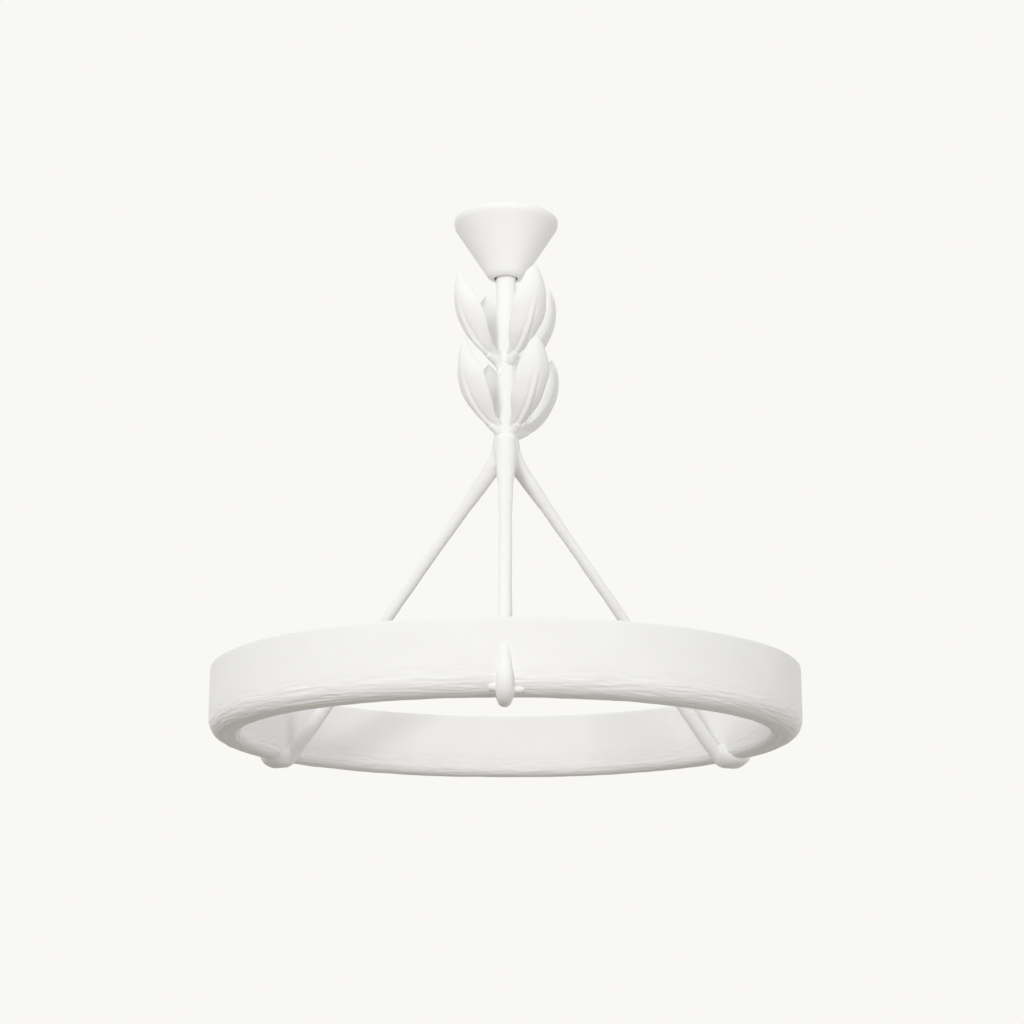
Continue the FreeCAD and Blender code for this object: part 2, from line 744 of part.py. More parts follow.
def branch_hub():
    body = new_body("branch_hub")
    socket = cell("stem_radius") + cell("slip_gap")
    hub_top = stem_end + cell("hub_lap")
    hub_bottom = stem_end - cell("hub_depth")
    section = new_sketch(body, "XZ_Plane", "section")
    add_outline(section, [
        (0, hub_bottom),
        (cell("hub_radius"), hub_bottom),
        (socket + cell("hub_collar"), hub_top),
        (socket, hub_top),
        (socket, stem_end),
        (stem_bore, stem_end),
        (stem_bore, arm_top),
        (0, arm_top),
    ])
    revolve(body, section)
    mouth = new_sketch(body, "XY_Plane", "arm_socket", arm_top)
    add_circle(mouth, (cell("arm_axis"), 0), cell("arm_radius") + cell("plaster_gap"))
    spine = new_sketch(body, "XZ_Plane", "arm_spine")
    add_outline(spine, [
        (cell("arm_axis"), arm_top),
        (cell("arm_axis"), bend_start, cell("arm_bend"), 1),
        (bend_end_radius, bend_end),
    ], closed=False)
    sockets = pipe(body, mouth, spine, kind="SubtractivePipe")
    repeat_around(body, [sockets], cell("arm_count"))
    turn_to(body, 0)


def lamp_leads():
    body = new_body("lamp_leads")
    top = new_sketch(body, "XY_Plane", "top", splice_bottom)
    add_circle(top, (cell("arm_axis"), 0), cell("lead_radius"))
    route = new_sketch(body, "XZ_Plane", "route")
    add_outline(route, lead_route(splice_bottom, entry_only=False), closed=False)
    lead = pipe(body, top, route)
    repeat_around(body, [lead], cell("arm_count"))
    turn_to(body, 0)


def stem_and_splice():
    outside = cylinder("stem_outside", cell("stem_radius"), stem_top, stem_end)
    inside = cylinder("stem_inside", stem_bore, stem_top, stem_end)
    cut("stem_tube", outside, inside)
    as_piece(cylinder("stem_splice", stem_bore - cell("seat_gap"), splice_top, splice_bottom))
    as_piece(cylinder("stem_lead", cell("lead_radius"), pivot - cell("pivot_slit") / 2, splice_top))


def swivel_barrel():
    body = new_body("swivel_barrel")
    bore = cell("barrel_bore")
    spigot = stem_bore - cell("slip_gap")
    flange_top = stem_top + cell("barrel_flange")
    spigot_end = stem_top - cell("barrel_spigot")
    barrel_top = pivot + cell("barrel_rise")
    section = new_sketch(body, "XZ_Plane", "section")
    add_outline(section, [
        (bore, spigot_end),
        (spigot, spigot_end),
        (spigot, stem_top),
        (cell("stem_radius"), stem_top),
        (cell("stem_radius"), flange_top),
        (cell("barrel_radius"), flange_top),
        (cell("barrel_radius"), barrel_top),
        (bore, barrel_top),
    ])
    revolve(body, section)
    cross = new_sketch(body, "YZ_Plane", "trunnion_hole")
    add_circle(cross, (0, pivot), cell("trunnion_radius") + cell("slip_gap"))
    pocket(body, cross)


# Leaves


def leaf_shape():
    """A cupped leaf on the +X side, with its base on the stem at height 0."""
    height = sheet.get("leaf_height")
    root = sheet.get("stem_radius") - sheet.get("leaf_root")
    reach = sheet.get("leaf_reach")
    curl = sheet.get("leaf_curl")
    widest = sheet.get("leaf_half_width")
    base_width = sheet.get("leaf_base_half_width")
    tip_width = sheet.get("leaf_tip_half_width")
    cup = sheet.get("leaf_cup")
    thickness = sheet.get("leaf_thickness")
    edge = sheet.get("leaf_edge")

    def keel(share):
        return Vector(root + (reach - root) * share - curl * share**5, 0, height * share**2)

    sections = []
    for share in (0, 0.14, 0.28, 0.42, 0.56, 0.7, 0.84, 0.94, 1):
        middle = keel(share)
        along = keel(min(share + 0.02, 1)) - keel(max(share - 0.02, 0))
        outward = Vector(along.z, 0, -along.x).normalize()
        ends = base_width + (tip_width - base_width) * share
        fullness = math.sin(math.pi * share**1.72) ** 0.81 if 0 < share < 1 else 0
        half = ends + (widest - ends) * fullness
        dip = cup * (0.2 + 0.8 * fullness)

        def at(side, depth):
            return middle + Vector(0, side, 0) - outward * depth

        rim = min(edge, half * 0.8)
        edges = [
            Part.Arc(at(-half, dip), at(-half / 2, dip * 0.36), at(0, 0)),
            Part.Arc(at(0, 0), at(half / 2, dip * 0.36), at(half, dip)),
            Part.LineSegment(at(half, dip), at(half - rim / 2, dip + rim)),
            Part.Arc(at(half - rim / 2, dip + rim), at(0, thickness), at(rim / 2 - half, dip + rim)),
            Part.LineSegment(at(rim / 2 - half, dip + rim), at(-half, dip)),
        ]
        sections.append(Part.Wire([edge_curve.toShape() for edge_curve in edges]))
    leaf = Part.makeLoft(sections, True, False)
    stem_radius = sheet.get("stem_radius") + sheet.get("plaster_gap")
    stem = Part.makeCylinder(stem_radius, 4 * height, Vector(0, 0, -2 * height))
    return leaf.cut(stem)


def leaves():
    shape = leaf_shape()
    base = -cell("leaf_base_drop").value
    for tier, height in (("upper", base), ("lower", base - cell("leaf_tier_step").value)):
        for side in ("front_left", "front_right", "back_right", "back_left"):
            leaf = doc.addObject("Part::Feature", f"{tier}_leaf_{side}")
            leaf.Shape = shape.copy()
            leaf.Placement = Placement(Vector(0, 0, height), facing(cell(f"leaf_{side}").value))
            as_piece(leaf)


# Canopy


def canopy_shell():
    body = new_body("canopy_shell")
    rim = cell("canopy_radius")
    lip = -cell("canopy_height")
    wall = cell("canopy_side_wall")
    band = -cell("canopy_band")
    shoulder = lip + cell("canopy_lip_height")
    floor = lip + cell("canopy_wall")
    inner_shoulder = cell("canopy_shoulder") - wall
    section = new_sketch(body, "XZ_Plane", "section")
    add_outline(section, [
        (rim, 0),
        (rim - wall, 0),
        (rim - wall, band),
        (inner_shoulder, shoulder),
        (inner_shoulder - cell("canopy_lip_height") + cell("canopy_wall"), floor),
        (cell("canopy_hole"), floor),
        (cell("canopy_hole"), lip),
        (cell("canopy_lip"), lip, cell("canopy_lip_round"), 1),
        (cell("canopy_shoulder"), shoulder),
        (rim, band),
    ])
    revolve(body, section)
    holes = new_sketch(body, "YZ_Plane", "grub_holes")
    add_circle(holes, (0, -cell("grub_drop")), cell("grub_radius") + cell("slip_gap"))
    pocket(body, holes)


def canopy_grub_screws():
    body = new_body("canopy_grub_screws")
    face = new_sketch(body, "YZ_Plane", "face", cell("ear_face") + cell("grub_gap"))
    add_circle(face, (0, -cell("grub_drop")), cell("grub_radius"))
    screw = pad(body, face, cell("grub_length"))
    repeat_around(body, [screw], number(2))


# Swivel


def swivel_yoke():
    body = new_body("swivel_yoke")
    inner_bend = cell("yoke_bend")
    outer_bend = inner_bend + cell("yoke_thickness")
    leg_end = pivot - cell("yoke_leg_tail")
    strap = new_sketch(body, "XZ_Plane", "strap")
    add_outline(strap, [
        (-yoke_outside, leg_end),
        (-yoke_inside, leg_end),
        (-yoke_inside, web_bottom - inner_bend, inner_bend, -1),
        (inner_bend - yoke_inside, web_bottom),
        (yoke_inside - inner_bend, web_bottom, inner_bend, -1),
        (yoke_inside, web_bottom - inner_bend),
        (yoke_inside, leg_end),
        (yoke_outside, leg_end),
        (yoke_outside, yoke_top - outer_bend, outer_bend, 1),
        (yoke_outside - outer_bend, yoke_top),
        (outer_bend - yoke_outside, yoke_top, outer_bend, 1),
        (-yoke_outside, yoke_top - outer_bend),
    ])
    pad(body, strap, cell("yoke_width"), both_ways=True)
    top_hole = new_sketch(body, "XY_Plane", "nipple_hole", yoke_top)
    add_circle(top_hole, (0, 0), nipple_hole)
    pocket(body, top_hole, cell("yoke_thickness"))
    cross = new_sketch(body, "YZ_Plane", "trunnion_holes")
    add_circle(cross, (0, pivot), cell("trunnion_radius") + cell("slip_gap"))
    pocket(body, cross)


def trunnion_screws():
    body = new_body("trunnion_screws")
    tip = new_sketch(body, "YZ_Plane", "tip", cell("trunnion_reach"))
    add_circle(tip, (0, pivot), cell("trunnion_radius"))
    shank = pad(body, tip, yoke_outside - cell("trunnion_reach"))
    seat = new_sketch(body, "YZ_Plane", "head", yoke_outside)
    add_circle(seat, (0, pivot), cell("trunnion_head"))
    head = pad(body, seat, cell("trunnion_head_height"))
    repeat_around(body, [shank, head], number(2))


def nipple_and_nuts():
    nipple_top = -cell("nipple_recess")
    tube = cylinder("nipple_outside", cell("nipple_radius"), nipple_top, nipple_bottom)
    bore = cylinder("nipple_inside", cell("nipple_bore"), nipple_top, nipple_bottom)
    way = doc.addObject("Part::Cylinder", "nipple_lead_way")
    way.Placement = Placement(Vector(0, 0, 0), Rotation(Vector(1, 0, 0), -90))
    way.setExpression("Radius", cell("lead_way").text)
    way.setExpression("Height", (cell("nipple_radius") * 2).text)
    way.setExpression("Placement.Base.z", lead_height.text)
    cut("hanger_nipple", tube, bore, way)
    nut_bottom = plate_bottom - cell("nut_height")
    for label, top, bottom in (
        ("lock_nut", plate_bottom, nut_bottom),
        ("swivel_nut", washer_bottom, swivel_nut_bottom),
    ):
        body = hexagon(f"{label}_body", cell("nut_corner"), top, bottom)
        cut(label, body, cylinder(f"{label}_thread", nipple_hole, top, bottom))
    disc = cylinder("washer_disc", washer_radius, web_bottom, washer_bottom)
    cut("swivel_washer", disc, cylinder("washer_hole", nipple_hole, web_bottom, washer_bottom))


# Ceiling plate and what is fixed to it


def earth_screw_place():
    turn = cell("earth_screw_turn")
    return cell("earth_screw_place") * sine(turn), -cell("earth_screw_place") * cosine(turn)


def driver_screw_places():
    x = (cell("driver_length") + cell("driver_tab")) / 2
    y = cell("driver_place") + cell("driver_depth") / 2
    return [(x, y), (-x, y)]


def ceiling_plate():
    body = new_body("ceiling_plate")
    face = new_sketch(body, "XY_Plane", "face")
    add_circle(face, (0, 0), cell("plate_radius"))
    pad(body, face, cell("plate_thickness"), down=True)
    ears = new_sketch(body, "XY_Plane", "ears", plate_bottom)
    half = cell("ear_width") / 2
    for side in (1, -1):
        add_box(ears, cell("ear_face") * side, -half, (cell("ear_face") - cell("ear_thickness")) * side, half)
    pad(body, ears, cell("ear_drop"), down=True)
    holes = new_sketch(body, "XY_Plane", "holes")
    add_circle(holes, (0, 0), nipple_hole)
    add_circle(holes, (0, -cell("bush_place")), cell("bush_hole"))
    for place in [earth_screw_place()] + driver_screw_places():
        add_circle(holes, place, cell("small_screw_shank") + cell("slip_gap"))
    radius = cell("slot_radius")
    reach = cell("slot_length") / 2 - radius
    for side in (1, -1):
        middle = cell("slot_spacing") / 2 * side
        quarter = [
            (middle + reach, -radius, radius, 1),
            (middle + reach + radius, 0, radius, 1),
            (middle + reach, radius),
            (middle - reach, radius, radius, 1),
            (middle - reach - radius, 0, radius, 1),
            (middle - reach, -radius),
        ]
        add_outline(holes, quarter)
    pocket(body, holes, cell("plate_thickness"))


def supply_bush():
    body = new_body("supply_bush")
    outer = cell("bush_hole") - cell("slip_gap")
    sleeve = new_sketch(body, "XY_Plane", "sleeve", -cell("nipple_recess"))
    add_circle(sleeve, (0, -cell("bush_place")), outer)
    add_circle(sleeve, (0, -cell("bush_place")), outer - cell("bush_wall"))
    pad(body, sleeve, cell("plate_thickness") - cell("nipple_recess"), down=True)
    flange = new_sketch(body, "XY_Plane", "flange", plate_bottom)
    add_circle(flange, (0, -cell("bush_place")), cell("bush_hole") + cell("bush_flange"))
    add_circle(flange, (0, -cell("bush_place")), outer - cell("bush_wall"))
    pad(body, flange, cell("bush_flange"), down=True)


def small_screws(label, places, seat):
    """Screws driven up into the ceiling plate, with their heads under a seat."""
    body = new_body(label)
    shanks = new_sketch(body, "XY_Plane", "shanks", seat)
    heads = new_sketch(body, "XY_Plane", "heads", seat)
    for place in places:
        add_circle(shanks, place, cell("small_screw_shank"))
        add_circle(heads, place, cell("small_screw_head"))
    pad(body, shanks, -cell("nipple_recess") - seat)
    pad(body, heads, cell("small_screw_head_height"), down=True)


def driver_case():
    body = new_body("driver_case")
    half = cell("driver_length") / 2
    near = cell("driver_place")
    far = near + cell("driver_depth")
    corner = cell("driver_corner")
    plan = new_sketch(body, "XY_Plane", "plan", plate_bottom)
    add_outline(plan, [
        (corner - half, near),
        (half - corner, near, corner, 1),
        (half, near + corner),
        (half, far - corner, corner, 1),
        (half - corner, far),
        (corner - half, far, corner, 1),
        (-half, far - corner),
        (-half, near + corner, corner, 1),
    ])
    pad(body, plan, cell("driver_height"), down=True)
    tabs = new_sketch(body, "XY_Plane", "tabs", plate_bottom)
    middle = (near + far) / 2
    tab_half = cell("driver_tab_width") / 2
    reach = half + cell("driver_tab")
    add_box(tabs, -reach, middle - tab_half, reach, middle + tab_half)
    pad(body, tabs, cell("driver_tab_thickness"), down=True)
    holes = new_sketch(body, "XY_Plane", "holes", plate_bottom)
    for place in driver_screw_places():
        add_circle(holes, place, cell("small_screw_shank") + cell("slip_gap"))
    pocket(body, holes, cell("driver_tab_thickness"))


def terminal_places():
    middle = -cell("terminal_place") - cell("terminal_depth") / 2
    count = int(cell("terminal_count").value)
    return [(cell("terminal_pitch") * (index - (count - 1) / 2), middle) for index in range(count)]


def terminal_block():
    body = new_body("terminal_block")
    half = cell("terminal_length") / 2
    near = -cell("terminal_place")
    plan = new_sketch(body, "XY_Plane", "plan", plate_bottom)
    add_box(plan, -half, near - cell("terminal_depth"), half, near)
    pad(body, plan, cell("terminal_height"), down=True)
    wells = new_sketch(body, "XY_Plane", "wells", plate_bottom - cell("terminal_height"))
    for place in terminal_places():
        add_circle(wells, place, cell("terminal_screw") + cell("slip_gap"))
    pocket(body, wells, cell("terminal_recess"), up=True)


def terminal_screws():
    body = new_body("terminal_screws")
    seat = plate_bottom - cell("terminal_height") + cell("terminal_recess")
    face = new_sketch(body, "XY_Plane", "face", seat)
    for place in terminal_places():
        add_circle(face, place, cell("terminal_screw"))
    pad(body, face, cell("terminal_screw_height"), down=True)


def driver_lead():
    body = new_body("driver_lead")
    end_height = pivot + cell("pivot_slit") / 2
    end = new_sketch(body, "XY_Plane", "end", end_height)
    add_circle(end, (0, 0), cell("lead_radius"))
    route = new_sketch(body, "YZ_Plane", "route")
    add_outline(route, [
        (0, end_height),
        (0, lead_height - cell("lead_bend"), cell("lead_bend"), -1),
        (cell("lead_bend"), lead_height),
        (cell("driver_place"), lead_height),
    ], closed=False)
    pipe(body, end, route)


def mains_lead():
    body = new_body("mains_lead")
    bend = cell("mains_lead_bend")
    height = -cell("mains_lead_drop")
    start = cell("driver_length") / 2
    turn = start + cell("mains_lead_stub")
    driver_middle = cell("driver_place") + cell("driver_depth") / 2
    terminal_middle = -cell("terminal_place") - cell("terminal_depth") / 2
    end = new_sketch(body, "YZ_Plane", "end", start)
    add_circle(end, (driver_middle, height), cell("mains_lead_radius"))
    route = new_sketch(body, "XY_Plane", "route", height)
    add_outline(route, [
        (start, driver_middle),
        (turn, driver_middle, bend, -1),
        (turn + bend, driver_middle - bend),
        (turn + bend, terminal_middle + bend, bend, -1),
        (turn, terminal_middle),
        (cell("terminal_length") / 2, terminal_middle),
    ], closed=False)
    pipe(body, end, route)


# The whole chandelier

ceiling_plate()
nipple_and_nuts()
supply_bush()
small_screws("earth_screw", [earth_screw_place()], plate_bottom)
driver_case()
small_screws("driver_screws", driver_screw_places(), plate_bottom - cell("driver_tab_thickness"))
terminal_block()
terminal_screws()
driver_lead()
mains_lead()
canopy_shell()
canopy_grub_screws()
swivel_yoke()
trunnion_screws()
swivel_barrel()
stem_and_splice()
leaves()
branch_hub()
for arm_index in range(int(cell("arm_count").value)):
    arm(arm_index)
lamp_leads()
ring_trough()
lead_bushes()
led_tray()
led_boards()
board_screws()
led_chips()
for diffuser_index in range(int(cell("diffuser_count").value)):
    diffuser(diffuser_index)
doc.recompute()

for item in doc.Objects:
    if "Invalid" in item.State or "Error" in item.State:
        raise RuntimeError(f"{item.Label} did not compute: {item.State}")
for piece in PIECES:
    if piece.Shape.isNull() or not piece.Shape.isValid() or not piece.Shape.Solids:
        raise RuntimeError(f"{piece.Label} has no valid solid")

os.makedirs("parts", exist_ok=True)
for piece in PIECES:
    piece.Shape.exportStep(f"parts/{piece.Label}.step")
    print(f"{piece.Label}: {len(piece.Shape.Solids)} solids, {piece.Shape.Volume / 1000:.2f} cm3")
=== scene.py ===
import json
import math

import bpy
from mathutils import Matrix, Vector, noise


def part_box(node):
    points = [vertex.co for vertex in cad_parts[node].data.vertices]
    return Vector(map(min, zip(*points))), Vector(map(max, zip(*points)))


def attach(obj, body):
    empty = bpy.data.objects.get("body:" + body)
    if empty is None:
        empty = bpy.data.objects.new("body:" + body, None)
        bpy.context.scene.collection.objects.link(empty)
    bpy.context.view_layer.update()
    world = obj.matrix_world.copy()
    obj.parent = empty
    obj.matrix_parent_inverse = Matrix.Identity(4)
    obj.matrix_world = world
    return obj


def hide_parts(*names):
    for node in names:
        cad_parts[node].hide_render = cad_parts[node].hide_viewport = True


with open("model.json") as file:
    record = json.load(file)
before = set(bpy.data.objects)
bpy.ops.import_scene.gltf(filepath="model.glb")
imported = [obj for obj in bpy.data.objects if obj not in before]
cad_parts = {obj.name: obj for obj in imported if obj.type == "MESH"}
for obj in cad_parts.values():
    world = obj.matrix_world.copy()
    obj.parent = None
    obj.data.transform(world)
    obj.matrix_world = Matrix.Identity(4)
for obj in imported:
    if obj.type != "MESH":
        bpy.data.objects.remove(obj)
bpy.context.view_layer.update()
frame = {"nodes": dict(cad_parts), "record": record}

# Lengths are in metres and angles in degrees. The main sizes follow the solids that the pieces
# replace, and the uneven ones are those of hand-modelled plaster. A section is a list of points as
# (radius, height) about the stem's axis.

# Ring: a trough, open at the top, with two ledges inside
ring_low, ring_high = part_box("ring_trough")
RING_RADIUS = ring_high.x
RING_TOP = ring_high.z
RING_BOTTOM = ring_low.z
RING_WIDTH = 0.043
RING_INNER = RING_RADIUS - RING_WIDTH
RING_EDGE = 0.0022
OUTER_ROUND = 0.021
INNER_ROUND = 0.012
OUTER_CENTRE = (RING_RADIUS - OUTER_ROUND, RING_BOTTOM + OUTER_ROUND)
INNER_CENTRE = (RING_INNER + INNER_ROUND, RING_BOTTOM + INNER_ROUND)
RIM_WALL = 0.004
LEDGE_WIDTH = 0.0015
DIFFUSER_LEDGE_DROP = 0.0125
TRAY_LEDGE_DROP = 0.0355
RING_STEPS = 576
FACE_PITCH = 0.005
BOTTOM_PITCH = 0.0009
INNER_BOTTOM_PITCH = 1.4 * BOTTOM_PITCH
BOTTOM_MARGIN = 0.020

# Trowel marks drawn out round the ring: size across, seed, and how much of the way round counts
TROWEL_MARKS = {
    "broad": (0.11, 1, 1),
    "streak": (0.0028, 2, 0.09),
    "ledge": (0.0065, 6, 0.13),
    "scratch": (0.0022, 8, 0.17),
}
TROWEL_DAB = (0.016, 3)
FACE_DEPTHS = {"broad": 0.0005, "streak": 0.00008, "dab": 0.0001}
BOTTOM_DEPTHS = {"streak": 0.0005, "ledge": 0.0010, "dab": 0.0004}
BOTTOM_FADE = (0.014, 0.036)
SCRATCH_DEPTH = 0.0016
SCRATCH_LEVEL = 0.12
SCRATCH_RISE = (0.001, 0.006)
SCRATCH_FADE = (0.014, 0.032)
SCRATCH_PATCH = (0.07, 9)
PATCH_RISE = (-0.2, 0.4)
PATCH_LEAST = 0.4

# Arms: an upright start in the hub, a bend, a straight slope, and a hook round the ring's bottom
ARM_TURNS = {"arm_1": 0, "arm_2": 120, "arm_3": 240}
ARM_AXIS = 0.0085
ARM_RADIUS = 0.0069
ARM_BEND = 0.042
BEND_START = -0.3218
ARM_START = BEND_START + 0.006
ARM_PITCH = 0.005
HOOK_STAND = 0.0015
HOOK_RADIUS = 0.0092
HOOK_TIP_DROP = 0.0285
HOOK_TIP_SINK = 0.0045
HOOK_BOTTOM_PITCH = 0.004
HOOK_TIP_PITCH = 0.003
# Radius at a length from the arm's top, and share of the hook's radius at a length back from its tip
ARM_TAPER = [(0, 0.0105), (0.026, 0.0115), (0.055, 0.0100), (0.110, 0.0078), (0.170, ARM_RADIUS)]
SWELL_START = 0.250
SWELL_END = 0.175
HOOK_TAPER = [
    (SWELL_END, 0.97), (0.128, 1), (0.100, 0.96), (0.080, 0.88), (0.056, 1.05),
    (0.042, 1), (0.018, 0.80), (0.006, 0.62), (0, 0.30),
]
# Uneven from arm to arm: thicker slopes by a share, and hooks set aside along the ring
ARM_SWELLS = {"arm_1": 0.20, "arm_2": 0.03, "arm_3": 0.03}
HOOK_ASIDES = {"arm_1": 0, "arm_2": 0.002, "arm_3": 0.004}

# Plaster smears under the hooks: seed, half width, height, and how far each is set aside
COLLARS = {
    "arm_1": (0, 0.0108, 0.0020, 0),
    "arm_2": (2.4, 0.017, 0.008, -0.010),
    "arm_3": (4.8, 0.017, 0.0085, 0.012),
}
COLLAR_SIDES = 40
COLLAR_PITCH = 0.003
COLLAR_RISE = 0.010
COLLAR_END_ANGLE = 350
COLLAR_ENDS = 0.04
# Waves: height as a share, or as a length for the shift, number along the smear, and place in the
# noise. The edge's wave has its number round the smear before the one along it.
COLLAR_WIDTH_WAVE = (0.28, 3.1, 0.3)
COLLAR_HEIGHT_WAVE = (0.4, 4.3, 7.3)
COLLAR_SHIFT_WAVE = (0.003, 2.2, 3.9)
COLLAR_EDGE_WAVE = (0.22, 1.2, 5, 4.4)

# Lumps of plaster beside the hooks: place along the ring, angle round its corner, length and radius
DABS = {
    "arm_1": [(-0.0140, 320, 0.011, 0.0052), (0.0155, 309, 0.014, 0.0048)],
    "arm_2": [(-0.0140, 232, 0.008, 0.0048), (-0.0020, 136, 0.022, 0.0095)],
    "arm_3": [(0.0100, 190, 0.008, 0.0048), (0.0020, 136, 0.022, 0.0095)],
}
DAB_STEPS = 8
DAB_SINK = 0.62
DAB_END = 0.4

# Stem and hub
STEM_RADIUS = 0.0125
STEM_SWELL = 0.0008
STEM_TOP = -0.0652
STEM_PITCH = 0.006
STEM_POINTS = 43
STEM_ASIDE = 0.002
STEM_LEAN_RISE = (0.17, 0.25)
STEM_LEAN_FALL = (0.29, 0.325)
HUB_MIDDLE = -0.325
HUB_PITCH = 0.003
HUB_STEPS = range(-12, 20)
HUB_PROFILE = [
    (-0.036, 0.008), (-0.026, 0.0145), (-0.012, 0.0168),
    (0.004, 0.0168), (0.018, 0.0158), (0.057, 0.0122),
]
STEM_SIDES = 40
ARM_SIDES = 28
BRANCH_VOXEL = 0.0014
BRANCH_PASSES = 14
# Hand-smoothed skin of the branch: how proud it stands, and its waves as (height, size, seed)
BRANCH_PROUD = 0.0003
BRANCH_WAVES = [(0.0005, 0.028, 4), (0.0002, 0.009, 5)]

# Leaves: turn from the front, sideways lean and half width of the tip, and shares of width and cup
LEAF_SIDES = {
    "front_left": (-52, -0.003, 0.0030, 1, 1),
    "front_right": (28, 0.005, 0.0046, 0.94, 0.75),
    "back_right": (123, 0.001, 0.0030, 1, 1),
    "back_left": (203, -0.001, 0.0034, 1, 1),
}
LEAF_BASE = -0.2035
LEAF_TIER_STEP = 0.1005
LOWER_TIER_ASIDE = 0.003
LEAF_TIERS = {
    "upper": (0, 0, LEAF_BASE),
    "lower": (LOWER_TIER_ASIDE, 0, LEAF_BASE - LEAF_TIER_STEP),
}
# Leaves that stand higher, lean further aside, or narrow more to their tips
LEAF_RISES = {
    "upper_leaf_back_right": 0.003,
    "upper_leaf_back_left": 0.004,
    "lower_leaf_front_left": 0.004,
    "lower_leaf_back_left": 0.003,
}
LEAF_ASIDES = {"upper_leaf_front_left": -0.005}
LEAF_TAPERS = {"upper_leaf_front_left": 0.27, "lower_leaf_front_left": 0.38}
LEAF_HEIGHT = 0.1175
LEAF_REACH = 0.1123
LEAF_CURL = 0.0383
LEAF_HALF_WIDTH = 0.0268
LEAF_FOOT_HALF = 0.006
LEAF_CUP = 0.0149
LEAF_FLATTEST = 0.2
LEAF_ROOT = STEM_RADIUS - 0.002
LEAF_ROWS = 96
LEAF_FACE_STEPS = 84
LEAF_SWELL_PLACE = 1.72
LEAF_SWELL_POWER = 0.81
TAPER_BAND = (0.72, 0.98)
TIP_CLOSE_START = 0.955
TIP_CLOSE_LENGTH = 0.047
KEEL_STEP = 0.02
LEAF_THICKNESS = 0.0052
TIP_THINNING = 0.35
FOOT_THICKNESS = 0.005
FOOT_SHARE = 0.3
EDGE_POWER = 7
RIB_START = (0.05, 0.2)
RIB_END = (0.5, 0.85)
RIB_SIDE = (0.0012, 0.0034)
RIB_HEIGHT = 0.0023
GROOVE_PLACE = 0.0046
GROOVE_WIDTH = 0.0014
GROOVE_DEPTH = 0.0014
# Stalk and the drip below it: place out from the root, place aside, height, and radius
DRIP = [(-0.002, 0, -0.026, 0.0022), (0, 0.001, -0.019, 0.0044), (-0.001, 0.001, -0.011, 0.0046)]
STALK_FOOT = (0.001, 0, -0.003, 0.0072)
STALK_KEEL = [(0.08, 0.0068), (0.2, 0.004)]
# What differs from leaf to leaf, each with its place in the noise
LEAF_REACH_CHANGE = (0.001, 0.5)
LEAF_WIDTH_CHANGE = (0.08, 3.5)
LEAF_DRIP_CHANGE = (0.5, 5.5)
LEAF_CHANGE_ROW = 0.2
LEAF_EDGE_CHANGE = 0.13
LEAF_EDGE_WAVES = 4
LEAF_EDGE_ROWS = (2.3, 6.1)
LEAF_NOISE_SHIFT = 0.37
FIRST_LEAF_SEED = 10
LEAF_SEED_STEP = 3
LEAF_VOXEL = 0.0008
LEAF_PASSES = 2
LEAF_WAVES = [(0.0007, 0.03), (0.0003, 0.011)]

# Canopy: a cone with a rounded rim at the ceiling and a small lip round the stem
CANOPY_HEIGHT = 0.084
CANOPY_WALL = 0.0025
CANOPY_SIDE_WALL = 0.0029
CANOPY_BAND = 0.006
CANOPY_RIM_EDGE = 0.0006
CANOPY_RIM_ROUND = 0.018
CANOPY_SHOULDER = 0.0255
CANOPY_SHOULDER_CURVE = [(0.0022, 0.0020), (0.0048, 0.0032)]
CANOPY_SHOULDER_INSET = 0.0011
CANOPY_LIP_HEIGHT = 0.0045
CANOPY_LIP = 0.0185
CANOPY_HOLE = 0.016
CANOPY_HOLE_EDGE = 0.0008
CANOPY_PITCH = 0.003
CANOPY_STEPS = 256

# Materials: bump layers are (texture scale, depth, detail, stretch)
EVEN = (1, 1, 1)
CLOUD_BAND = (0.3, 0.7)
PLASTER_CLOUDS = (14, 5)
PLASTER_ROUGHNESS = (0.78, 0.95)
PLASTER_SPECULAR = 0.25
TROWEL_SCALE = 30
TROWEL_DETAIL = 4
TROWEL_STRETCH = (1, 1, 7)
PLASTER_GRAIN = [(420, 0.00006, 2, EVEN), (1900, 0.00002, 1, EVEN)]
METAL_CLOUDS = (90, 6)
METAL_ROUGHNESS_BAND = (-0.08, 0.1)
METAL_GRAIN = [(700, 0.00004, 3, EVEN)]
PLASTIC_CLOUDS = (60, 4)
PLASTIC_ROUGHNESS_BAND = (-0.06, 0.08)
PLASTIC_GRAIN = 0.00004
PLASTIC_GRAIN_SCALE = 1200
PLASTIC_GRAIN_DETAIL = 2
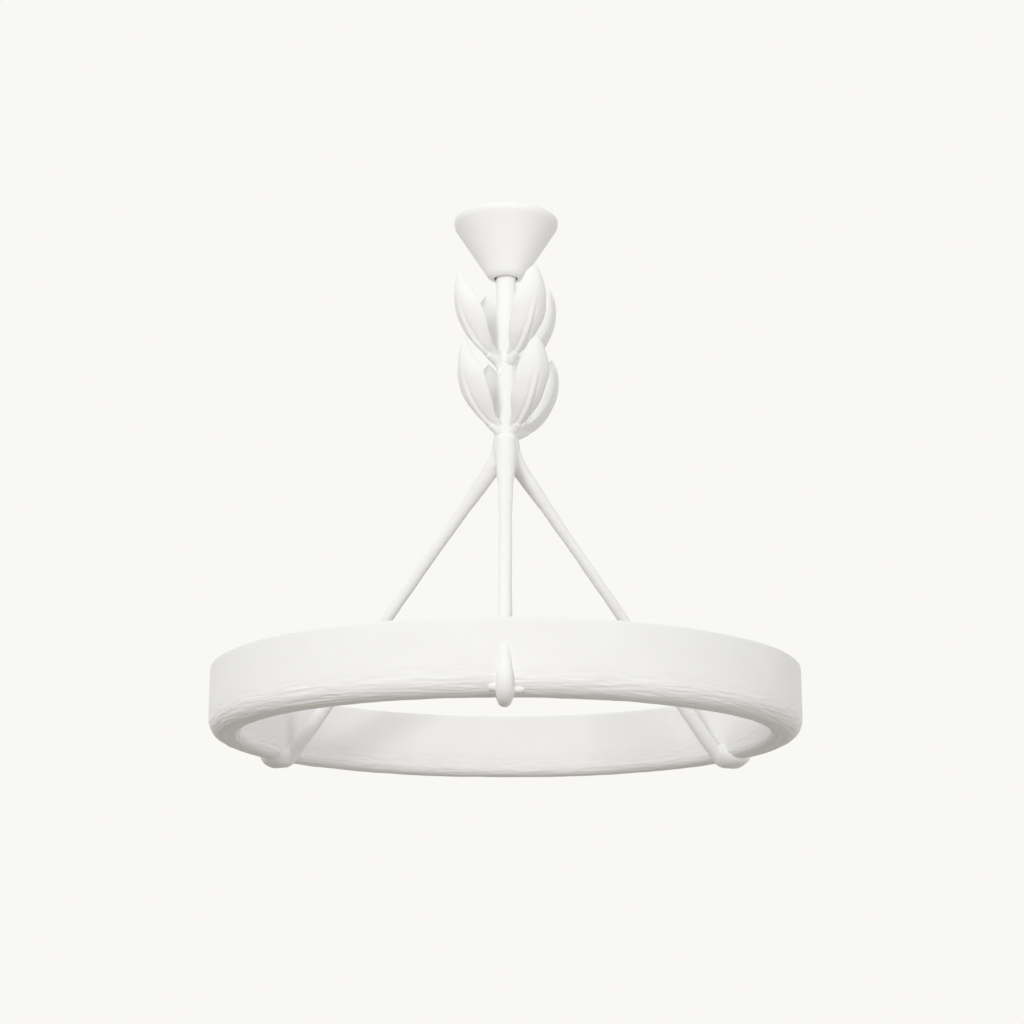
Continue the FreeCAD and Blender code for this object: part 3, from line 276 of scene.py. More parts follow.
# Light shade, dark shade, and roughness or depth of the trowel marks
PLASTERS = {
    "plaster_ring": ((0.925, 0.923, 0.919), (0.90, 0.897, 0.89), 0.0002),
    "plaster_smooth": ((0.935, 0.934, 0.931), (0.915, 0.913, 0.908), 0.00012),
    "canopy_paint": ((0.96, 0.96, 0.957), (0.945, 0.944, 0.94), 0.0002),
}
METALS = {
    "zinc_steel": ((0.7, 0.71, 0.72), (0.56, 0.57, 0.58), 0.35),
    "brass": ((0.8, 0.63, 0.32), (0.66, 0.5, 0.24), 0.3),
    "tray_aluminium": ((0.8, 0.81, 0.82), (0.7, 0.71, 0.72), 0.32),
}
PLASTICS = {
    "nylon": ((0.86, 0.85, 0.8), (0.8, 0.79, 0.74), 0.45),
    "driver_plastic": ((0.82, 0.82, 0.81), (0.76, 0.76, 0.75), 0.4),
    "black_rubber": ((0.05, 0.05, 0.05), (0.03, 0.03, 0.03), 0.7),
    "lead_sheath": ((0.85, 0.85, 0.84), (0.8, 0.8, 0.79), 0.5),
    "board_lacquer": ((0.9, 0.9, 0.88), (0.85, 0.85, 0.83), 0.25),
    "lamp_phosphor": ((0.92, 0.8, 0.3), (0.85, 0.7, 0.22), 0.3),
}
OPAL = ((0.93, 0.925, 0.91), (0.9, 0.895, 0.88), 0.45)
OPAL_GRAIN = 0.00003
OPAL_SCATTER = 0.25
OPAL_SCATTER_RADIUS = (0.004, 0.004, 0.0038)

# Camera, fitted to the photograph
FRAME_PIXELS = 1024
FOCAL_PIXELS = 1997.9
SENSOR_MILLIMETRES = 36
CAMERA_PLACE = (0.0083, -2.57675, -1.09272)
CAMERA_PITCH = 14.743
CAMERA_REACH = 20

# Light: the colour of the fill by height from straight below to straight above, and the lamps
BACKGROUND = (0.947, 0.939, 0.905, 1.0)
SKY = [
    (0, (0.25, 0.212, 0.174)),
    (0.25, (0.42, 0.408, 0.386)),
    (0.5, (0.61, 0.61, 0.608)),
    (1, (0.77, 0.77, 0.77)),
]
LAMP_TARGET = (0, 0, -0.4)
# Place, width and power in watts
LAMPS = {
    "key": ((-2.25, -6.3, 0.6), 1.7, 176),
    "side": ((5.6, -2.4, -2.4), 4.0, 60),
    "back": ((-2.6, 5.8, 1.2), 4.0, 80),
}
SPOT_TARGET = (0, 0, 0.014)
SPOT_POWER = 23
SPOT_ANGLE = 8
SPOT_SIZE = 0.1


# Curves and noise

NOISE_STRIDES = (17.3, 5.1, 9.7)
NEARLY_ZERO = 1e-6


def smooth_step(value, low, high):
    """Share from 0 at low to 1 at high, with soft ends."""
    share = min(max((value - low) / (high - low), 0), 1)
    return share * share * (3 - 2 * share)


def hump(value, rise, fall):
    """Share that goes from 0 to 1 over one band and back to 0 over another."""
    return smooth_step(value, *rise) * (1 - smooth_step(value, *fall))


def between(value, table):
    """Value of a smooth curve through a short list of (place, value)."""
    for (low, first), (high, last) in zip(table, table[1:]):
        if value <= high:
            return first + (last - first) * smooth_step(value, low, high)
    return table[-1][1]


def drift(x, y, z):
    """Noise from -1 to 1 at a place."""
    return noise.noise(Vector((x, y, z)))


def ripple(point, size, seed):
    """Noise from -1 to 1 with features of about a size, different for each seed."""
    return noise.noise(point / size + Vector([seed * stride for stride in NOISE_STRIDES]))


def to_share(value):
    """Brings noise from -1 to 1 into the range from 0 to 1."""
    return 0.5 + 0.5 * value


def arc(section, centre, radius, angles, steps):
    """Adds the points of an arc to a section, from the first to the last angle."""
    first, last = angles
    for step in range(steps + 1):
        angle = math.radians(first + (last - first) * step / steps)
        section.append((centre[0] + radius * math.cos(angle), centre[1] + radius * math.sin(angle)))


def run(section, end, pitch, with_end=False):
    """Adds a straight run of points about a pitch apart to a section, up to an end or with it."""
    start = section[-1]
    length = math.hypot(end[0] - start[0], end[1] - start[1])
    count = max(1, round(length / pitch))
    for step in range(1, count + 1 if with_end else count):
        share = step / count
        section.append((
            start[0] + (end[0] - start[0]) * share,
            start[1] + (end[1] - start[1]) * share,
        ))


def lengths_along(section):
    """Length of a section from its start to each of its points."""
    lengths = [0]
    for (r0, z0), (r1, z1) in zip(section, section[1:]):
        lengths.append(lengths[-1] + math.hypot(r1 - r0, z1 - z0))
    return lengths


def neighbours(line, index):
    """The points before and after a point of a line, or the point itself at an end."""
    return line[max(index - 1, 0)], line[min(index + 1, len(line) - 1)]


# Shells: a shell is a list of points and a list of faces


def facing(turn):
    """Rotation that takes the +X side of a piece to a turn from the front, plus to the right."""
    return Matrix.Rotation(math.radians(turn - 90), 4, "Z")


def grid_faces(rows, columns, close_rows=False):
    """Quads between the points of a grid that is stored row by row, each row a closed loop."""
    faces = []
    for row in range(rows if close_rows else rows - 1):
        after = (row + 1) % rows
        for column in range(columns):
            beside = (column + 1) % columns
            faces.append((row * columns + column, row * columns + beside,
                          after * columns + beside, after * columns + column))
    return faces


def capped_faces(rows, columns):
    """Faces of a grid of closed loops, with the first and the last loop filled."""
    first_cap = tuple(reversed(range(columns)))
    last_cap = tuple(range((rows - 1) * columns, rows * columns))
    return grid_faces(rows, columns) + [first_cap, last_cap]


def lathe(section, count):
    """Shell of a closed section turned about Z."""
    points = []
    for step in range(count):
        angle = 2 * math.pi * step / count
        points += [Vector((r * math.cos(angle), r * math.sin(angle), z)) for r, z in section]
    return points, grid_faces(count, len(section), close_rows=True)


def tube(path, radii, sides=ARM_SIDES):
    """Shell of a round tube along a path, with closed ends."""
    points = []
    for index, centre in enumerate(path):
        before, after = neighbours(path, index)
        along = (after - before).normalized()
        across = along.cross(Vector((0, 1, 0)))
        if across.length < NEARLY_ZERO:
            across = Vector((1, 0, 0))
        across.normalize()
        upright = across.cross(along)
        for step in range(sides):
            angle = 2 * math.pi * step / sides
            spoke = across * math.cos(angle) + upright * math.sin(angle)
            points.append(centre + spoke * radii[index])
    return points, capped_faces(len(path), sides)


def joined(shells):
    """Several shells as one."""
    points, faces = [], []
    for more_points, more_faces in shells:
        start = len(points)
        points += more_points
        faces += [tuple(start + corner for corner in face) for face in more_faces]
    return points, faces


def placed(shell, matrix):
    """A shell moved by a matrix."""
    points, faces = shell
    return [matrix @ point for point in points], faces


# Pieces


def new_piece(name, shell, material, body="fixture"):
    """A smooth mesh piece that rides on a body."""
    points, faces = shell
    mesh = bpy.data.meshes.new(name)
    mesh.from_pydata([tuple(point) for point in points], [], faces)
    mesh.validate()
    mesh.shade_smooth()
    piece = bpy.data.objects.new(name, mesh)
    bpy.context.scene.collection.objects.link(piece)
    mesh.materials.append(material)
    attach(piece, body)
    return piece


def soften(piece, voxel, passes):
    """Joins the overlapping shells of a piece into one skin and rounds where they meet."""
    remesh = piece.modifiers.new("join", "REMESH")
    remesh.mode = "VOXEL"
    remesh.voxel_size = voxel
    smooth = piece.modifiers.new("soften", "SMOOTH")
    smooth.factor = 0.5
    smooth.iterations = passes
    graph = bpy.context.evaluated_depsgraph_get()
    mesh = bpy.data.meshes.new_from_object(piece.evaluated_get(graph))
    old = piece.data
    piece.modifiers.clear()
    piece.data = mesh
    mesh.name = old.name
    bpy.data.meshes.remove(old)
    mesh.shade_smooth()


def push(piece, amount):
    """Moves each vertex of a piece along its normal by amount(vertex)."""
    mesh = piece.data
    moved = [vertex.co + vertex.normal * amount(vertex) for vertex in mesh.vertices]
    for vertex, place in zip(mesh.vertices, moved):
        vertex.co = place
    mesh.update()


def knead(piece, proud, waves):
    """Makes a skin uneven by hand: it stands proud, with waves of (height, size, seed)."""

    def rise(vertex):
        heights = (height * ripple(vertex.co, size, seed) for height, size, seed in waves)
        return sum(heights, proud)

    push(piece, rise)


# Materials


def noise_texture(nodes, links, scale, detail, stretch):
    """Noise that keeps its place on the piece."""
    place = nodes.new("ShaderNodeTexCoord")
    mapping = nodes.new("ShaderNodeMapping")
    mapping.inputs["Scale"].default_value = stretch
    links.new(place.outputs["Object"], mapping.inputs["Vector"])
    texture = nodes.new("ShaderNodeTexNoise")
    texture.inputs["Scale"].default_value = scale
    texture.inputs["Detail"].default_value = detail
    links.new(mapping.outputs["Vector"], texture.inputs["Vector"])
    return texture


def new_material(name, shades, clouds, roughness, bumps):
    """Material whose colour and roughness drift in clouds of (scale, detail), with several bumps."""
    material = bpy.data.materials.new(name)
    material.use_nodes = True
    nodes, links = material.node_tree.nodes, material.node_tree.links
    shader = nodes["Principled BSDF"]

    texture = noise_texture(nodes, links, *clouds, EVEN)
    ramp = nodes.new("ShaderNodeValToRGB")
    for stop, position, shade in zip(ramp.color_ramp.elements, CLOUD_BAND, reversed(shades)):
        stop.position = position
        stop.color = (*shade, 1)
    links.new(texture.outputs["Fac"], ramp.inputs["Fac"])
    links.new(ramp.outputs["Color"], shader.inputs["Base Color"])

    rough = nodes.new("ShaderNodeMapRange")
    rough.inputs["To Min"].default_value, rough.inputs["To Max"].default_value = roughness
    links.new(texture.outputs["Fac"], rough.inputs["Value"])
    links.new(rough.outputs["Result"], shader.inputs["Roughness"])

    normal = shader.inputs["Normal"]
    for scale, depth, detail, stretch in reversed(bumps):
        bump = nodes.new("ShaderNodeBump")
        bump.inputs["Strength"].default_value = 1
        bump.inputs["Distance"].default_value = depth
        texture = noise_texture(nodes, links, scale, detail, stretch)
        links.new(texture.outputs["Fac"], bump.inputs["Height"])
        links.new(bump.outputs["Normal"], normal)
        normal = bump.inputs["Normal"]
    return material, shader


def plaster(name):
    """Matte plaster: faint clouds of warm grey, fine grain, and soft trowel marks."""
    light, shade, marks = PLASTERS[name]
    bumps = [(TROWEL_SCALE, marks, TROWEL_DETAIL, TROWEL_STRETCH)] + PLASTER_GRAIN
    material, shader = new_material(name, (light, shade), PLASTER_CLOUDS, PLASTER_ROUGHNESS, bumps)
    shader.inputs["Specular IOR Level"].default_value = PLASTER_SPECULAR
    return material


def metal(name, light, shade, roughness):
    """Bare or plated metal with a faint grain."""
    band = [roughness + change for change in METAL_ROUGHNESS_BAND]
    material, shader = new_material(name, (light, shade), METAL_CLOUDS, band, METAL_GRAIN)
    shader.inputs["Metallic"].default_value = 1
    return material


def plastic(name, light, shade, roughness, grain=PLASTIC_GRAIN):
    """Moulded plastic or rubber with a fine skin grain."""
    band = [roughness + change for change in PLASTIC_ROUGHNESS_BAND]
    bumps = [(PLASTIC_GRAIN_SCALE, grain, PLASTIC_GRAIN_DETAIL, EVEN)]
    return new_material(name, (light, shade), PLASTIC_CLOUDS, band, bumps)[0]


def opal_plastic():
    """Satin opal acrylic that scatters a little light inside."""
    material = plastic("opal", *OPAL, OPAL_GRAIN)
    shader = material.node_tree.nodes["Principled BSDF"]
    shader.inputs["Subsurface Weight"].default_value = OPAL_SCATTER
    shader.inputs["Subsurface Radius"].default_value = OPAL_SCATTER_RADIUS
    return material


def dress_solids():
    """Gives the solids that stay in view the materials of their slots."""
    looks = {slot: metal(slot, *look) for slot, look in METALS.items()}
    looks.update({slot: plastic(slot, *look) for slot, look in PLASTICS.items()})
    looks["opal"] = opal_plastic()
    for part in frame["record"]["subparts"]:
        material = looks.get(part["material_slot"])
        if material is not None:
            node = frame["nodes"][part["node"]]
            node.data.materials.clear()
            node.data.materials.append(material)


# Ring


def ring_skin():
    """Outside of the ring's section, from its top outer edge round the bottom to its top inner edge."""
    edge_height = RING_TOP - RING_EDGE
    skin = []
    arc(skin, (RING_RADIUS - RING_EDGE, edge_height), RING_EDGE, (90, 0), steps=5)
    run(skin, (RING_RADIUS, OUTER_CENTRE[1] + BOTTOM_MARGIN), FACE_PITCH, with_end=True)
    run(skin, (RING_RADIUS, OUTER_CENTRE[1]), BOTTOM_PITCH)
    arc(skin, OUTER_CENTRE, OUTER_ROUND, (360, 270), steps=38)
    run(skin, (INNER_CENTRE[0], RING_BOTTOM), BOTTOM_PITCH)
    arc(skin, INNER_CENTRE, INNER_ROUND, (270, 180), steps=18)
    run(skin, (RING_INNER, INNER_CENTRE[1] + BOTTOM_MARGIN), INNER_BOTTOM_PITCH, with_end=True)
    run(skin, (RING_INNER, edge_height), FACE_PITCH)
    arc(skin, (RING_INNER + RING_EDGE, edge_height), RING_EDGE, (180, 90), steps=5)
    return skin


def ring_inside():
    """Inside of the ring's section, with two ledges, from its top inner edge to its top outer edge."""
    ledge_wall = RIM_WALL + LEDGE_WIDTH
    lower_wall = ledge_wall + LEDGE_WIDTH
    ledges = [
        (RIM_WALL, RING_TOP),
        (RIM_WALL, RING_TOP - DIFFUSER_LEDGE_DROP),
        (ledge_wall, RING_TOP - DIFFUSER_LEDGE_DROP),
        (ledge_wall, RING_TOP - TRAY_LEDGE_DROP),
        (lower_wall, RING_TOP - TRAY_LEDGE_DROP),
    ]
    inside = [(RING_INNER + depth, height) for depth, height in ledges]
    arc(inside, INNER_CENTRE, INNER_ROUND - lower_wall, (180, 270), steps=4)
    arc(inside, OUTER_CENTRE, OUTER_ROUND - lower_wall, (270, 360), steps=6)
    return inside + [(RING_RADIUS - depth, height) for depth, height in reversed(ledges)]


def trowel_depth(point, length):
    """Depth of the trowel marks at a point of the ring, at a length along its section."""
    around = Vector((point.x, point.y, 0)).normalized() * RING_RADIUS
    across = Vector((0, 0, length))

    def mark(kind):
        size, seed, drawn = TROWEL_MARKS[kind]
        return ripple(around * drawn + across, size, seed)

    broad, streak = to_share(mark("broad")), to_share(mark("streak"))
    dab = to_share(ripple(point, *TROWEL_DAB))
    face = (FACE_DEPTHS["broad"] * broad + FACE_DEPTHS["streak"] * streak
            + FACE_DEPTHS["dab"] * dab)
    bottom = (BOTTOM_DEPTHS["streak"] * streak + BOTTOM_DEPTHS["ledge"] * abs(mark("ledge"))
              + BOTTOM_DEPTHS["dab"] * dab)
    height = point.z - RING_BOTTOM
    under = 1 - smooth_step(height, *BOTTOM_FADE)
    border = hump(height, SCRATCH_RISE, SCRATCH_FADE)
    patch_share = smooth_step(ripple(around, *SCRATCH_PATCH), *PATCH_RISE)
    patch = PATCH_LEAST + (1 - PATCH_LEAST) * patch_share
    scratch = max(mark("scratch") - SCRATCH_LEVEL, 0)
    return face + under * bottom + border * patch * SCRATCH_DEPTH * scratch


def make_ring(material):
    """Trough with a hand-trowelled skin: long ridges round its bottom, and faint waves on its faces."""
    skin = ring_skin()
    section = skin + ring_inside()
    lengths = lengths_along(section)
    ring = new_piece("plaster_ring", lathe(section, RING_STEPS), material)
    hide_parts("ring_trough")

    def trowel(vertex):
        column = vertex.index % len(section)
        return -trowel_depth(vertex.co, lengths[column]) if column < len(skin) else 0

    push(ring, trowel)


# Stem, hub and arms


def arm_track():
    """Centre line of an arm in its own upright plane, as a section from the hub to the hook's tip."""
    inner_track = INNER_ROUND + HOOK_STAND
    outer_track = OUTER_ROUND + HOOK_STAND
    bend_centre = ARM_AXIS + ARM_BEND
    apart = INNER_CENTRE[0] - bend_centre
    drop = BEND_START - INNER_CENTRE[1]
    lean = math.atan2(apart, drop) + math.asin((ARM_BEND - inner_track) / math.hypot(apart, drop))
    slope_angle = 180 + math.degrees(lean)
    hook_start = (
        INNER_CENTRE[0] - inner_track * math.cos(lean),
        INNER_CENTRE[1] - inner_track * math.sin(lean),
    )
    track = [(ARM_AXIS, ARM_START)]
    arc(track, (bend_centre, BEND_START), ARM_BEND, (180, slope_angle), steps=12)
    run(track, hook_start, ARM_PITCH)
    arc(track, INNER_CENTRE, inner_track, (slope_angle, 270), steps=8)
    run(track, (OUTER_CENTRE[0], RING_BOTTOM - HOOK_STAND), HOOK_BOTTOM_PITCH)
    arc(track, OUTER_CENTRE, outer_track, (270, 360), steps=12)
    hook_tip = (RING_RADIUS - HOOK_TIP_SINK, RING_TOP - HOOK_TIP_DROP)
    run(track, hook_tip, HOOK_TIP_PITCH, with_end=True)
    return track


def arm_shell(arm, track):
    """Arm on the +X side, with its own thickness, and its hook set aside."""
    lengths = lengths_along(track)
    total = lengths[-1]
    hook_taper = [(total - back, HOOK_RADIUS * share) for back, share in HOOK_TAPER]
    taper = ARM_TAPER + [(total - SWELL_START, ARM_RADIUS)] + hook_taper
    radii = []
    for length in lengths:
        slope = 1 - smooth_step(length, total - SWELL_START, total - SWELL_END)
        radii.append(between(length, taper) * (1 + ARM_SWELLS[arm] * slope))
    path = [Vector((r, HOOK_ASIDES[arm] * (r / RING_RADIUS), z)) for r, z in track]
    return tube(path, radii)


def collar_shell(seed, half_width, height, aside):
    """Plaster smear under a hook, on the +X side, wide along the ring and set aside along it."""
    surface = [(RING_INNER, INNER_CENTRE[1] + COLLAR_RISE)]
    run(surface, (RING_INNER, INNER_CENTRE[1]), COLLAR_PITCH)
    arc(surface, INNER_CENTRE, INNER_ROUND, (180, 270), steps=10)
    run(surface, (OUTER_CENTRE[0], RING_BOTTOM), COLLAR_PITCH)
    arc(surface, OUTER_CENTRE, OUTER_ROUND, (270, COLLAR_END_ANGLE), steps=12)

    def wave(share, depth, count, row):
        return depth * drift(share * count, seed, row)

    edge_depth, edge_round, edge_count, edge_row = COLLAR_EDGE_WAVE
    points = []
    for index, (r, z) in enumerate(surface):
        share = index / (len(surface) - 1)
        (r0, z0), (r1, z1) = neighbours(surface, index)
        along = Vector((r1 - r0, 0, z1 - z0)).normalized()
        outward = Vector((along.z, 0, -along.x))
        swell = math.sin(math.pi * (COLLAR_ENDS + (1 - 2 * COLLAR_ENDS) * share)) ** 0.5
        half = half_width * (1 + wave(share, *COLLAR_WIDTH_WAVE)) * swell
        rise = height * (1 + wave(share, *COLLAR_HEIGHT_WAVE)) * swell**2
        shift = aside * swell + wave(share, *COLLAR_SHIFT_WAVE)
        for step in range(COLLAR_SIDES):
            angle = 2 * math.pi * step / COLLAR_SIDES
            edge_place = (math.cos(angle) * edge_round, share * edge_count, seed + edge_row)
            uneven = 1 + edge_depth * drift(*edge_place)
            points.append(Vector((r, shift, z)) + outward * (math.sin(angle) * rise)
                          + Vector((0, math.cos(angle) * half * uneven, 0)))
    return points, capped_faces(len(surface), COLLAR_SIDES)


def dab_shell(aside, angle, length, radius):
    """Small lump of plaster beside a hook, at an angle round the section's outer or inner corner."""
    (r, z), corner = (OUTER_CENTRE, OUTER_ROUND) if angle > 270 else (INNER_CENTRE, INNER_ROUND)
    reach = corner - DAB_SINK * radius
    r += reach * math.cos(math.radians(angle))
    z += reach * math.sin(math.radians(angle))
    path, radii = [], []
    for step in range(DAB_STEPS + 1):
        share = step / DAB_STEPS
        path.append(Vector((r, aside + length * (share - 0.5), z)))
        radii.append(radius * (DAB_END + (1 - DAB_END) * math.sin(math.pi * share) ** 0.5))
    return tube(path, radii)


def stem_shell():
    """Stem that bends a little aside between the feet of the two tiers of leaves."""
    path = []
    for step in range(STEM_POINTS):
        drop = -STEM_TOP + step * STEM_PITCH
        path.append(Vector((STEM_ASIDE * hump(drop, STEM_LEAN_RISE, STEM_LEAN_FALL), 0, -drop)))
    return tube(path, [STEM_RADIUS + STEM_SWELL] * STEM_POINTS, STEM_SIDES)


def hub_shell():
    """Hub that widens from the stem and closes between the arms."""
    path = [Vector((0, 0, HUB_MIDDLE + step * HUB_PITCH)) for step in HUB_STEPS]
    return tube(path, [between(point.z - HUB_MIDDLE, HUB_PROFILE) for point in path], STEM_SIDES)


def make_branch(material):
    """Stem, hub and arms as one hand-smoothed plaster skin."""
    track = arm_track()
    shells = []
    for arm, turn in ARM_TURNS.items():
        arm_shells = [arm_shell(arm, track), collar_shell(*COLLARS[arm])]
        arm_shells += [dab_shell(*dab) for dab in DABS[arm]]
        shells += [placed(shell, facing(turn)) for shell in arm_shells]
    shells += [stem_shell(), hub_shell()]
    branch = new_piece("plaster_branch", joined(shells), material)
    soften(branch, BRANCH_VOXEL, BRANCH_PASSES)
    knead(branch, BRANCH_PROUD, BRANCH_WAVES)
    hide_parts("stem_tube", "branch_hub", *ARM_TURNS)


# Leaves


def midrib(across):
    """Rise of a leaf's midrib at a distance from its middle, with a groove at each side."""
    band = 1 - smooth_step(abs(across), *RIB_SIDE)
    groove = math.exp(-(((abs(across) - GROOVE_PLACE) / GROOVE_WIDTH) ** 2))
    return RIB_HEIGHT * band - GROOVE_DEPTH * groove


def leaf_shell(seed, lean, tip, width, cup, rise, taper):
    """Rounded, cupped leaf with a raised midrib, on the +X side with its foot at height 0."""
    place_in_noise = seed + LEAF_NOISE_SHIFT

    def change(most, place):
        return most * drift(place_in_noise, place, LEAF_CHANGE_ROW)

    reach = LEAF_REACH + change(*LEAF_REACH_CHANGE)
    height = LEAF_HEIGHT + rise
    widest = LEAF_HALF_WIDTH * width * (1 + change(*LEAF_WIDTH_CHANGE))
    drip = 1 + change(*LEAF_DRIP_CHANGE)

    def keel(share):
        out = LEAF_ROOT + (reach - LEAF_ROOT) * share - LEAF_CURL * share**5
        return Vector((out, 0, height * share**2))

    points = []
    for row in range(LEAF_ROWS):
        share = row / (LEAF_ROWS - 1)
        middle = keel(share) + Vector((0, lean * share * share, 0))
        along = keel(min(share + KEEL_STEP, 1)) - keel(max(share - KEEL_STEP, 0))
        outward = Vector((along.z, 0, -along.x)).normalized()

        # Outline: full below the middle, narrow at the foot, and closed to a rounded tip
        fullness = 0
        if 0 < share < 1:
            fullness = math.sin(math.pi * share**LEAF_SWELL_PLACE) ** LEAF_SWELL_POWER
        ends = LEAF_FOOT_HALF + (tip - LEAF_FOOT_HALF) * share
        close = math.sqrt(1 - (max(share - TIP_CLOSE_START, 0) / TIP_CLOSE_LENGTH) ** 2)
        narrow = 1 - taper * smooth_step(share, *TAPER_BAND)
        half = (ends + (widest - ends) * fullness * narrow) * close
        halves = []
        for edge_row in LEAF_EDGE_ROWS:
            wave = LEAF_EDGE_CHANGE * drift(share * LEAF_EDGE_WAVES, place_in_noise, edge_row)
            halves.append(half * (1 + wave))

        # Section: cupped, with rounded edges and a midrib on its outer face
        dip = LEAF_CUP * cup * (LEAF_FLATTEST + (1 - LEAF_FLATTEST) * fullness)
        thick = (LEAF_THICKNESS * (1 - TIP_THINNING * share**3) * close
                 + FOOT_THICKNESS * (1 - smooth_step(share, 0, FOOT_SHARE)))
        rib = hump(share, RIB_START, RIB_END)
        for outer_face in (True, False):
            for step in range(LEAF_FACE_STEPS):
                angle = math.pi * step / LEAF_FACE_STEPS
                side = -math.cos(angle) if outer_face else math.cos(angle)
                body = thick * (1 - abs(side) ** EDGE_POWER) ** 0.5 / 2
                fall = dip * abs(side) ** 2 + thick / 2
                across = side * halves[side > 0]
                depth = fall - body - rib * midrib(across) if outer_face else fall + body
                points.append(middle + Vector((0, across, 0)) - outward * depth)
    blade = points, capped_faces(LEAF_ROWS, 2 * LEAF_FACE_STEPS)

    stalk = [(Vector((LEAF_ROOT + out, aside, drop * drip)), radius)
             for out, aside, drop, radius in DRIP]
    out, aside, drop, radius = STALK_FOOT
    stalk.append((Vector((LEAF_ROOT + out, aside, drop)), radius))
    stalk += [(keel(share), radius) for share, radius in STALK_KEEL]
    path, radii = zip(*stalk)
    return joined([blade, tube(path, radii)])


def make_leaf(name, base, turn, seed, shape, material):
    """Hand-modelled plaster leaf with its foot at a base on the stem."""
    shell = placed(leaf_shell(seed, *shape), Matrix.Translation(base) @ facing(turn))
    leaf = new_piece(f"plaster_{name}", shell, material)
    soften(leaf, LEAF_VOXEL, LEAF_PASSES)
    waves = [(height, size, seed + layer) for layer, (height, size) in enumerate(LEAF_WAVES)]
    knead(leaf, 0, waves)
    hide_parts(name)


def make_leaves(material):
    """Two tiers of four leaves, no two of them quite alike."""
    seed = FIRST_LEAF_SEED
    for tier, base in LEAF_TIERS.items():
        for side, (turn, lean, tip, width, cup) in LEAF_SIDES.items():
            name = f"{tier}_leaf_{side}"
            lean += LEAF_ASIDES.get(name, 0)
            shape = (lean, tip, width, cup, LEAF_RISES.get(name, 0), LEAF_TAPERS.get(name, 0))
            make_leaf(name, base, turn, seed, shape, material)
            seed += LEAF_SEED_STEP


# Canopy


def make_canopy(material):
    """Cone-shaped canopy shell with a rounded rim."""
    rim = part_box("canopy_shell")[1].x
    shoulder = -CANOPY_HEIGHT + CANOPY_LIP_HEIGHT
    floor = -CANOPY_HEIGHT + CANOPY_WALL
    slope = math.atan2(rim - CANOPY_SHOULDER, -CANOPY_BAND - shoulder)
    tangent = CANOPY_RIM_ROUND * math.tan(slope / 2)
    round_centre = (rim - CANOPY_RIM_ROUND, tangent - CANOPY_BAND)
    section = [(rim - CANOPY_SIDE_WALL, 0), (rim - CANOPY_RIM_EDGE, 0)]
    arc(section, round_centre, CANOPY_RIM_ROUND, (0, -math.degrees(slope)), steps=10)
    run(section, (CANOPY_SHOULDER, shoulder), CANOPY_PITCH, with_end=True)
    section += [(CANOPY_SHOULDER - inward, shoulder - down)
                for inward, down in CANOPY_SHOULDER_CURVE]
    section += [
        (CANOPY_LIP, -CANOPY_HEIGHT),
        (CANOPY_HOLE + CANOPY_HOLE_EDGE, -CANOPY_HEIGHT),
        (CANOPY_HOLE, -CANOPY_HEIGHT + CANOPY_HOLE_EDGE),
        (CANOPY_HOLE, floor),
        (CANOPY_SHOULDER - CANOPY_SIDE_WALL - CANOPY_SHOULDER_INSET, floor),
        (CANOPY_SHOULDER - CANOPY_SIDE_WALL, shoulder),
        (rim - CANOPY_SIDE_WALL, -CANOPY_BAND),
    ]
    section.reverse()
    canopy = new_piece("plaster_canopy", lathe(section, CANOPY_STEPS), material, body="canopy")
    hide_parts("canopy_shell")


# Camera and light


def make_camera():
    """Camera at the photograph's place, looking slightly up."""
    data = bpy.data.cameras.new("camera")
    data.sensor_width = SENSOR_MILLIMETRES
    data.lens = SENSOR_MILLIMETRES * FOCAL_PIXELS / FRAME_PIXELS
    data.clip_end = CAMERA_REACH
    camera = bpy.data.objects.new("camera", data)
    camera.location = CAMERA_PLACE
    camera.rotation_euler = (math.pi / 2 + math.radians(CAMERA_PITCH), 0, 0)
    bpy.context.scene.collection.objects.link(camera)
    bpy.context.scene.camera = camera


def aim(data, place, target):
    """Puts a lamp in the scene, pointed at a target."""
    light = bpy.data.objects.new(data.name, data)
    light.location = place
    light.rotation_euler = (Vector(target) - Vector(place)).to_track_quat("-Z", "Y").to_euler()
    bpy.context.scene.collection.objects.link(light)


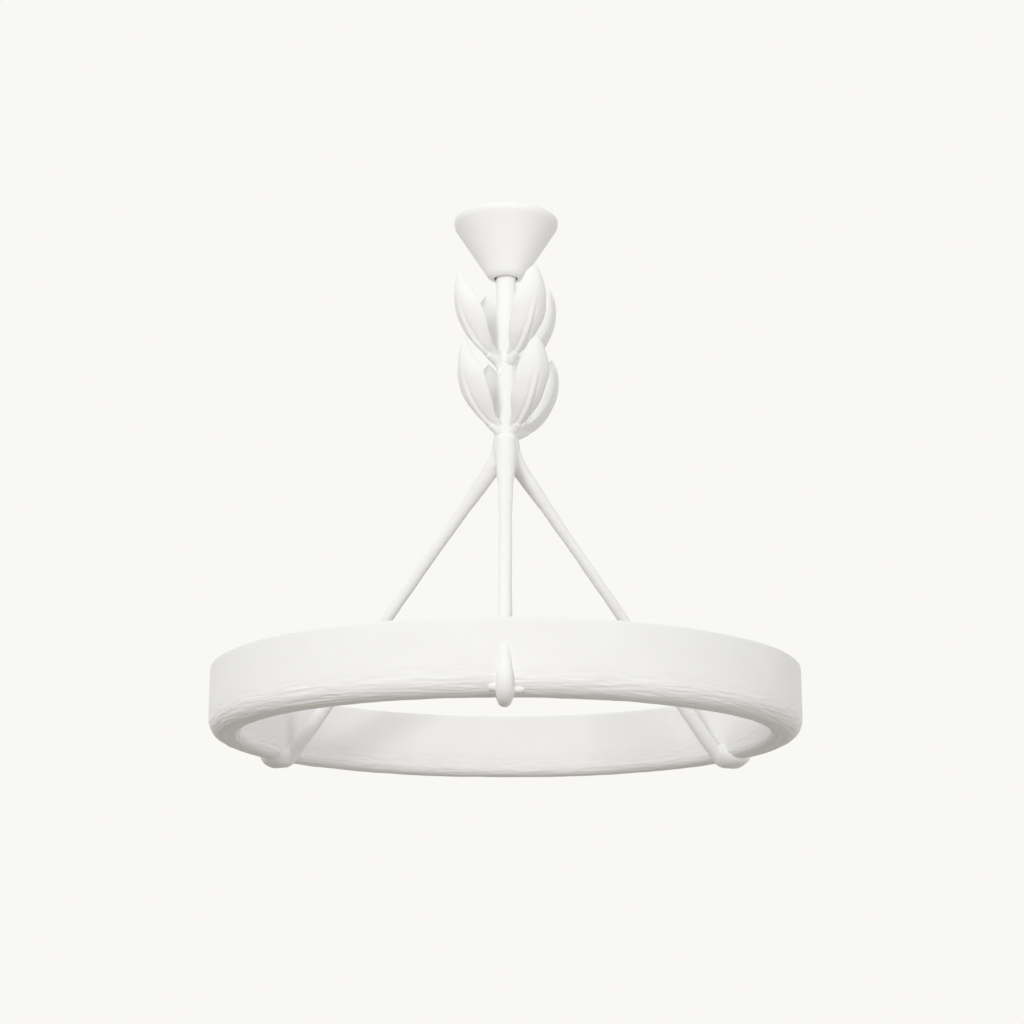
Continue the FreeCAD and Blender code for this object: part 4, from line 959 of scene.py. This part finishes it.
def make_lamps():
    """Large soft lamps on the whole object, and a narrow beam that lifts the canopy."""
    for name, (place, width, power) in LAMPS.items():
        data = bpy.data.lights.new(name, "AREA")
        data.shape = "DISK"
        data.size = width
        data.energy = power
        aim(data, place, LAMP_TARGET)
    spot = bpy.data.lights.new("canopy", "SPOT")
    spot.energy = SPOT_POWER
    spot.spot_size = math.radians(SPOT_ANGLE)
    spot.spot_blend = 1
    spot.shadow_soft_size = SPOT_SIZE
    aim(spot, CAMERA_PLACE, SPOT_TARGET)


def make_world():
    """Soft fill light from all round, and the plain pale background that is seen or mirrored."""
    world = bpy.data.worlds.new("world")
    bpy.context.scene.world = world
    world.use_nodes = True
    nodes, links = world.node_tree.nodes, world.node_tree.links

    direction = nodes.new("ShaderNodeTexCoord")
    split = nodes.new("ShaderNodeSeparateXYZ")
    links.new(direction.outputs["Generated"], split.inputs[0])
    height = nodes.new("ShaderNodeMapRange")
    height.inputs["From Min"].default_value = -1
    links.new(split.outputs["Z"], height.inputs["Value"])
    sky = nodes.new("ShaderNodeValToRGB")
    stops = sky.color_ramp.elements
    stops.remove(stops[1])
    for place, colour in SKY:
        stop = stops[0] if place == 0 else stops.new(place)
        stop.color = (*colour, 1)
    links.new(height.outputs["Result"], sky.inputs["Fac"])
    fill = nodes["Background"]
    links.new(sky.outputs["Color"], fill.inputs["Color"])

    backdrop = nodes.new("ShaderNodeBackground")
    backdrop.inputs["Color"].default_value = BACKGROUND
    rays = nodes.new("ShaderNodeLightPath")
    shows_backdrop = rays.outputs["Is Camera Ray"]
    for ray in ("Is Transmission Ray", "Is Glossy Ray"):
        either = nodes.new("ShaderNodeMath")
        either.operation = "MAXIMUM"
        links.new(shows_backdrop, either.inputs[0])
        links.new(rays.outputs[ray], either.inputs[1])
        shows_backdrop = either.outputs[0]
    mix = nodes.new("ShaderNodeMixShader")
    links.new(shows_backdrop, mix.inputs["Fac"])
    links.new(fill.outputs[0], mix.inputs[1])
    links.new(backdrop.outputs[0], mix.inputs[2])
    links.new(mix.outputs[0], nodes["World Output"].inputs["Surface"])


# The scene

smooth_plaster = plaster("plaster_smooth")
make_ring(plaster("plaster_ring"))
make_branch(smooth_plaster)
make_leaves(smooth_plaster)
make_canopy(plaster("canopy_paint"))
dress_solids()

make_camera()
make_world()
make_lamps()
bpy.context.scene.view_settings.view_transform = "Standard"
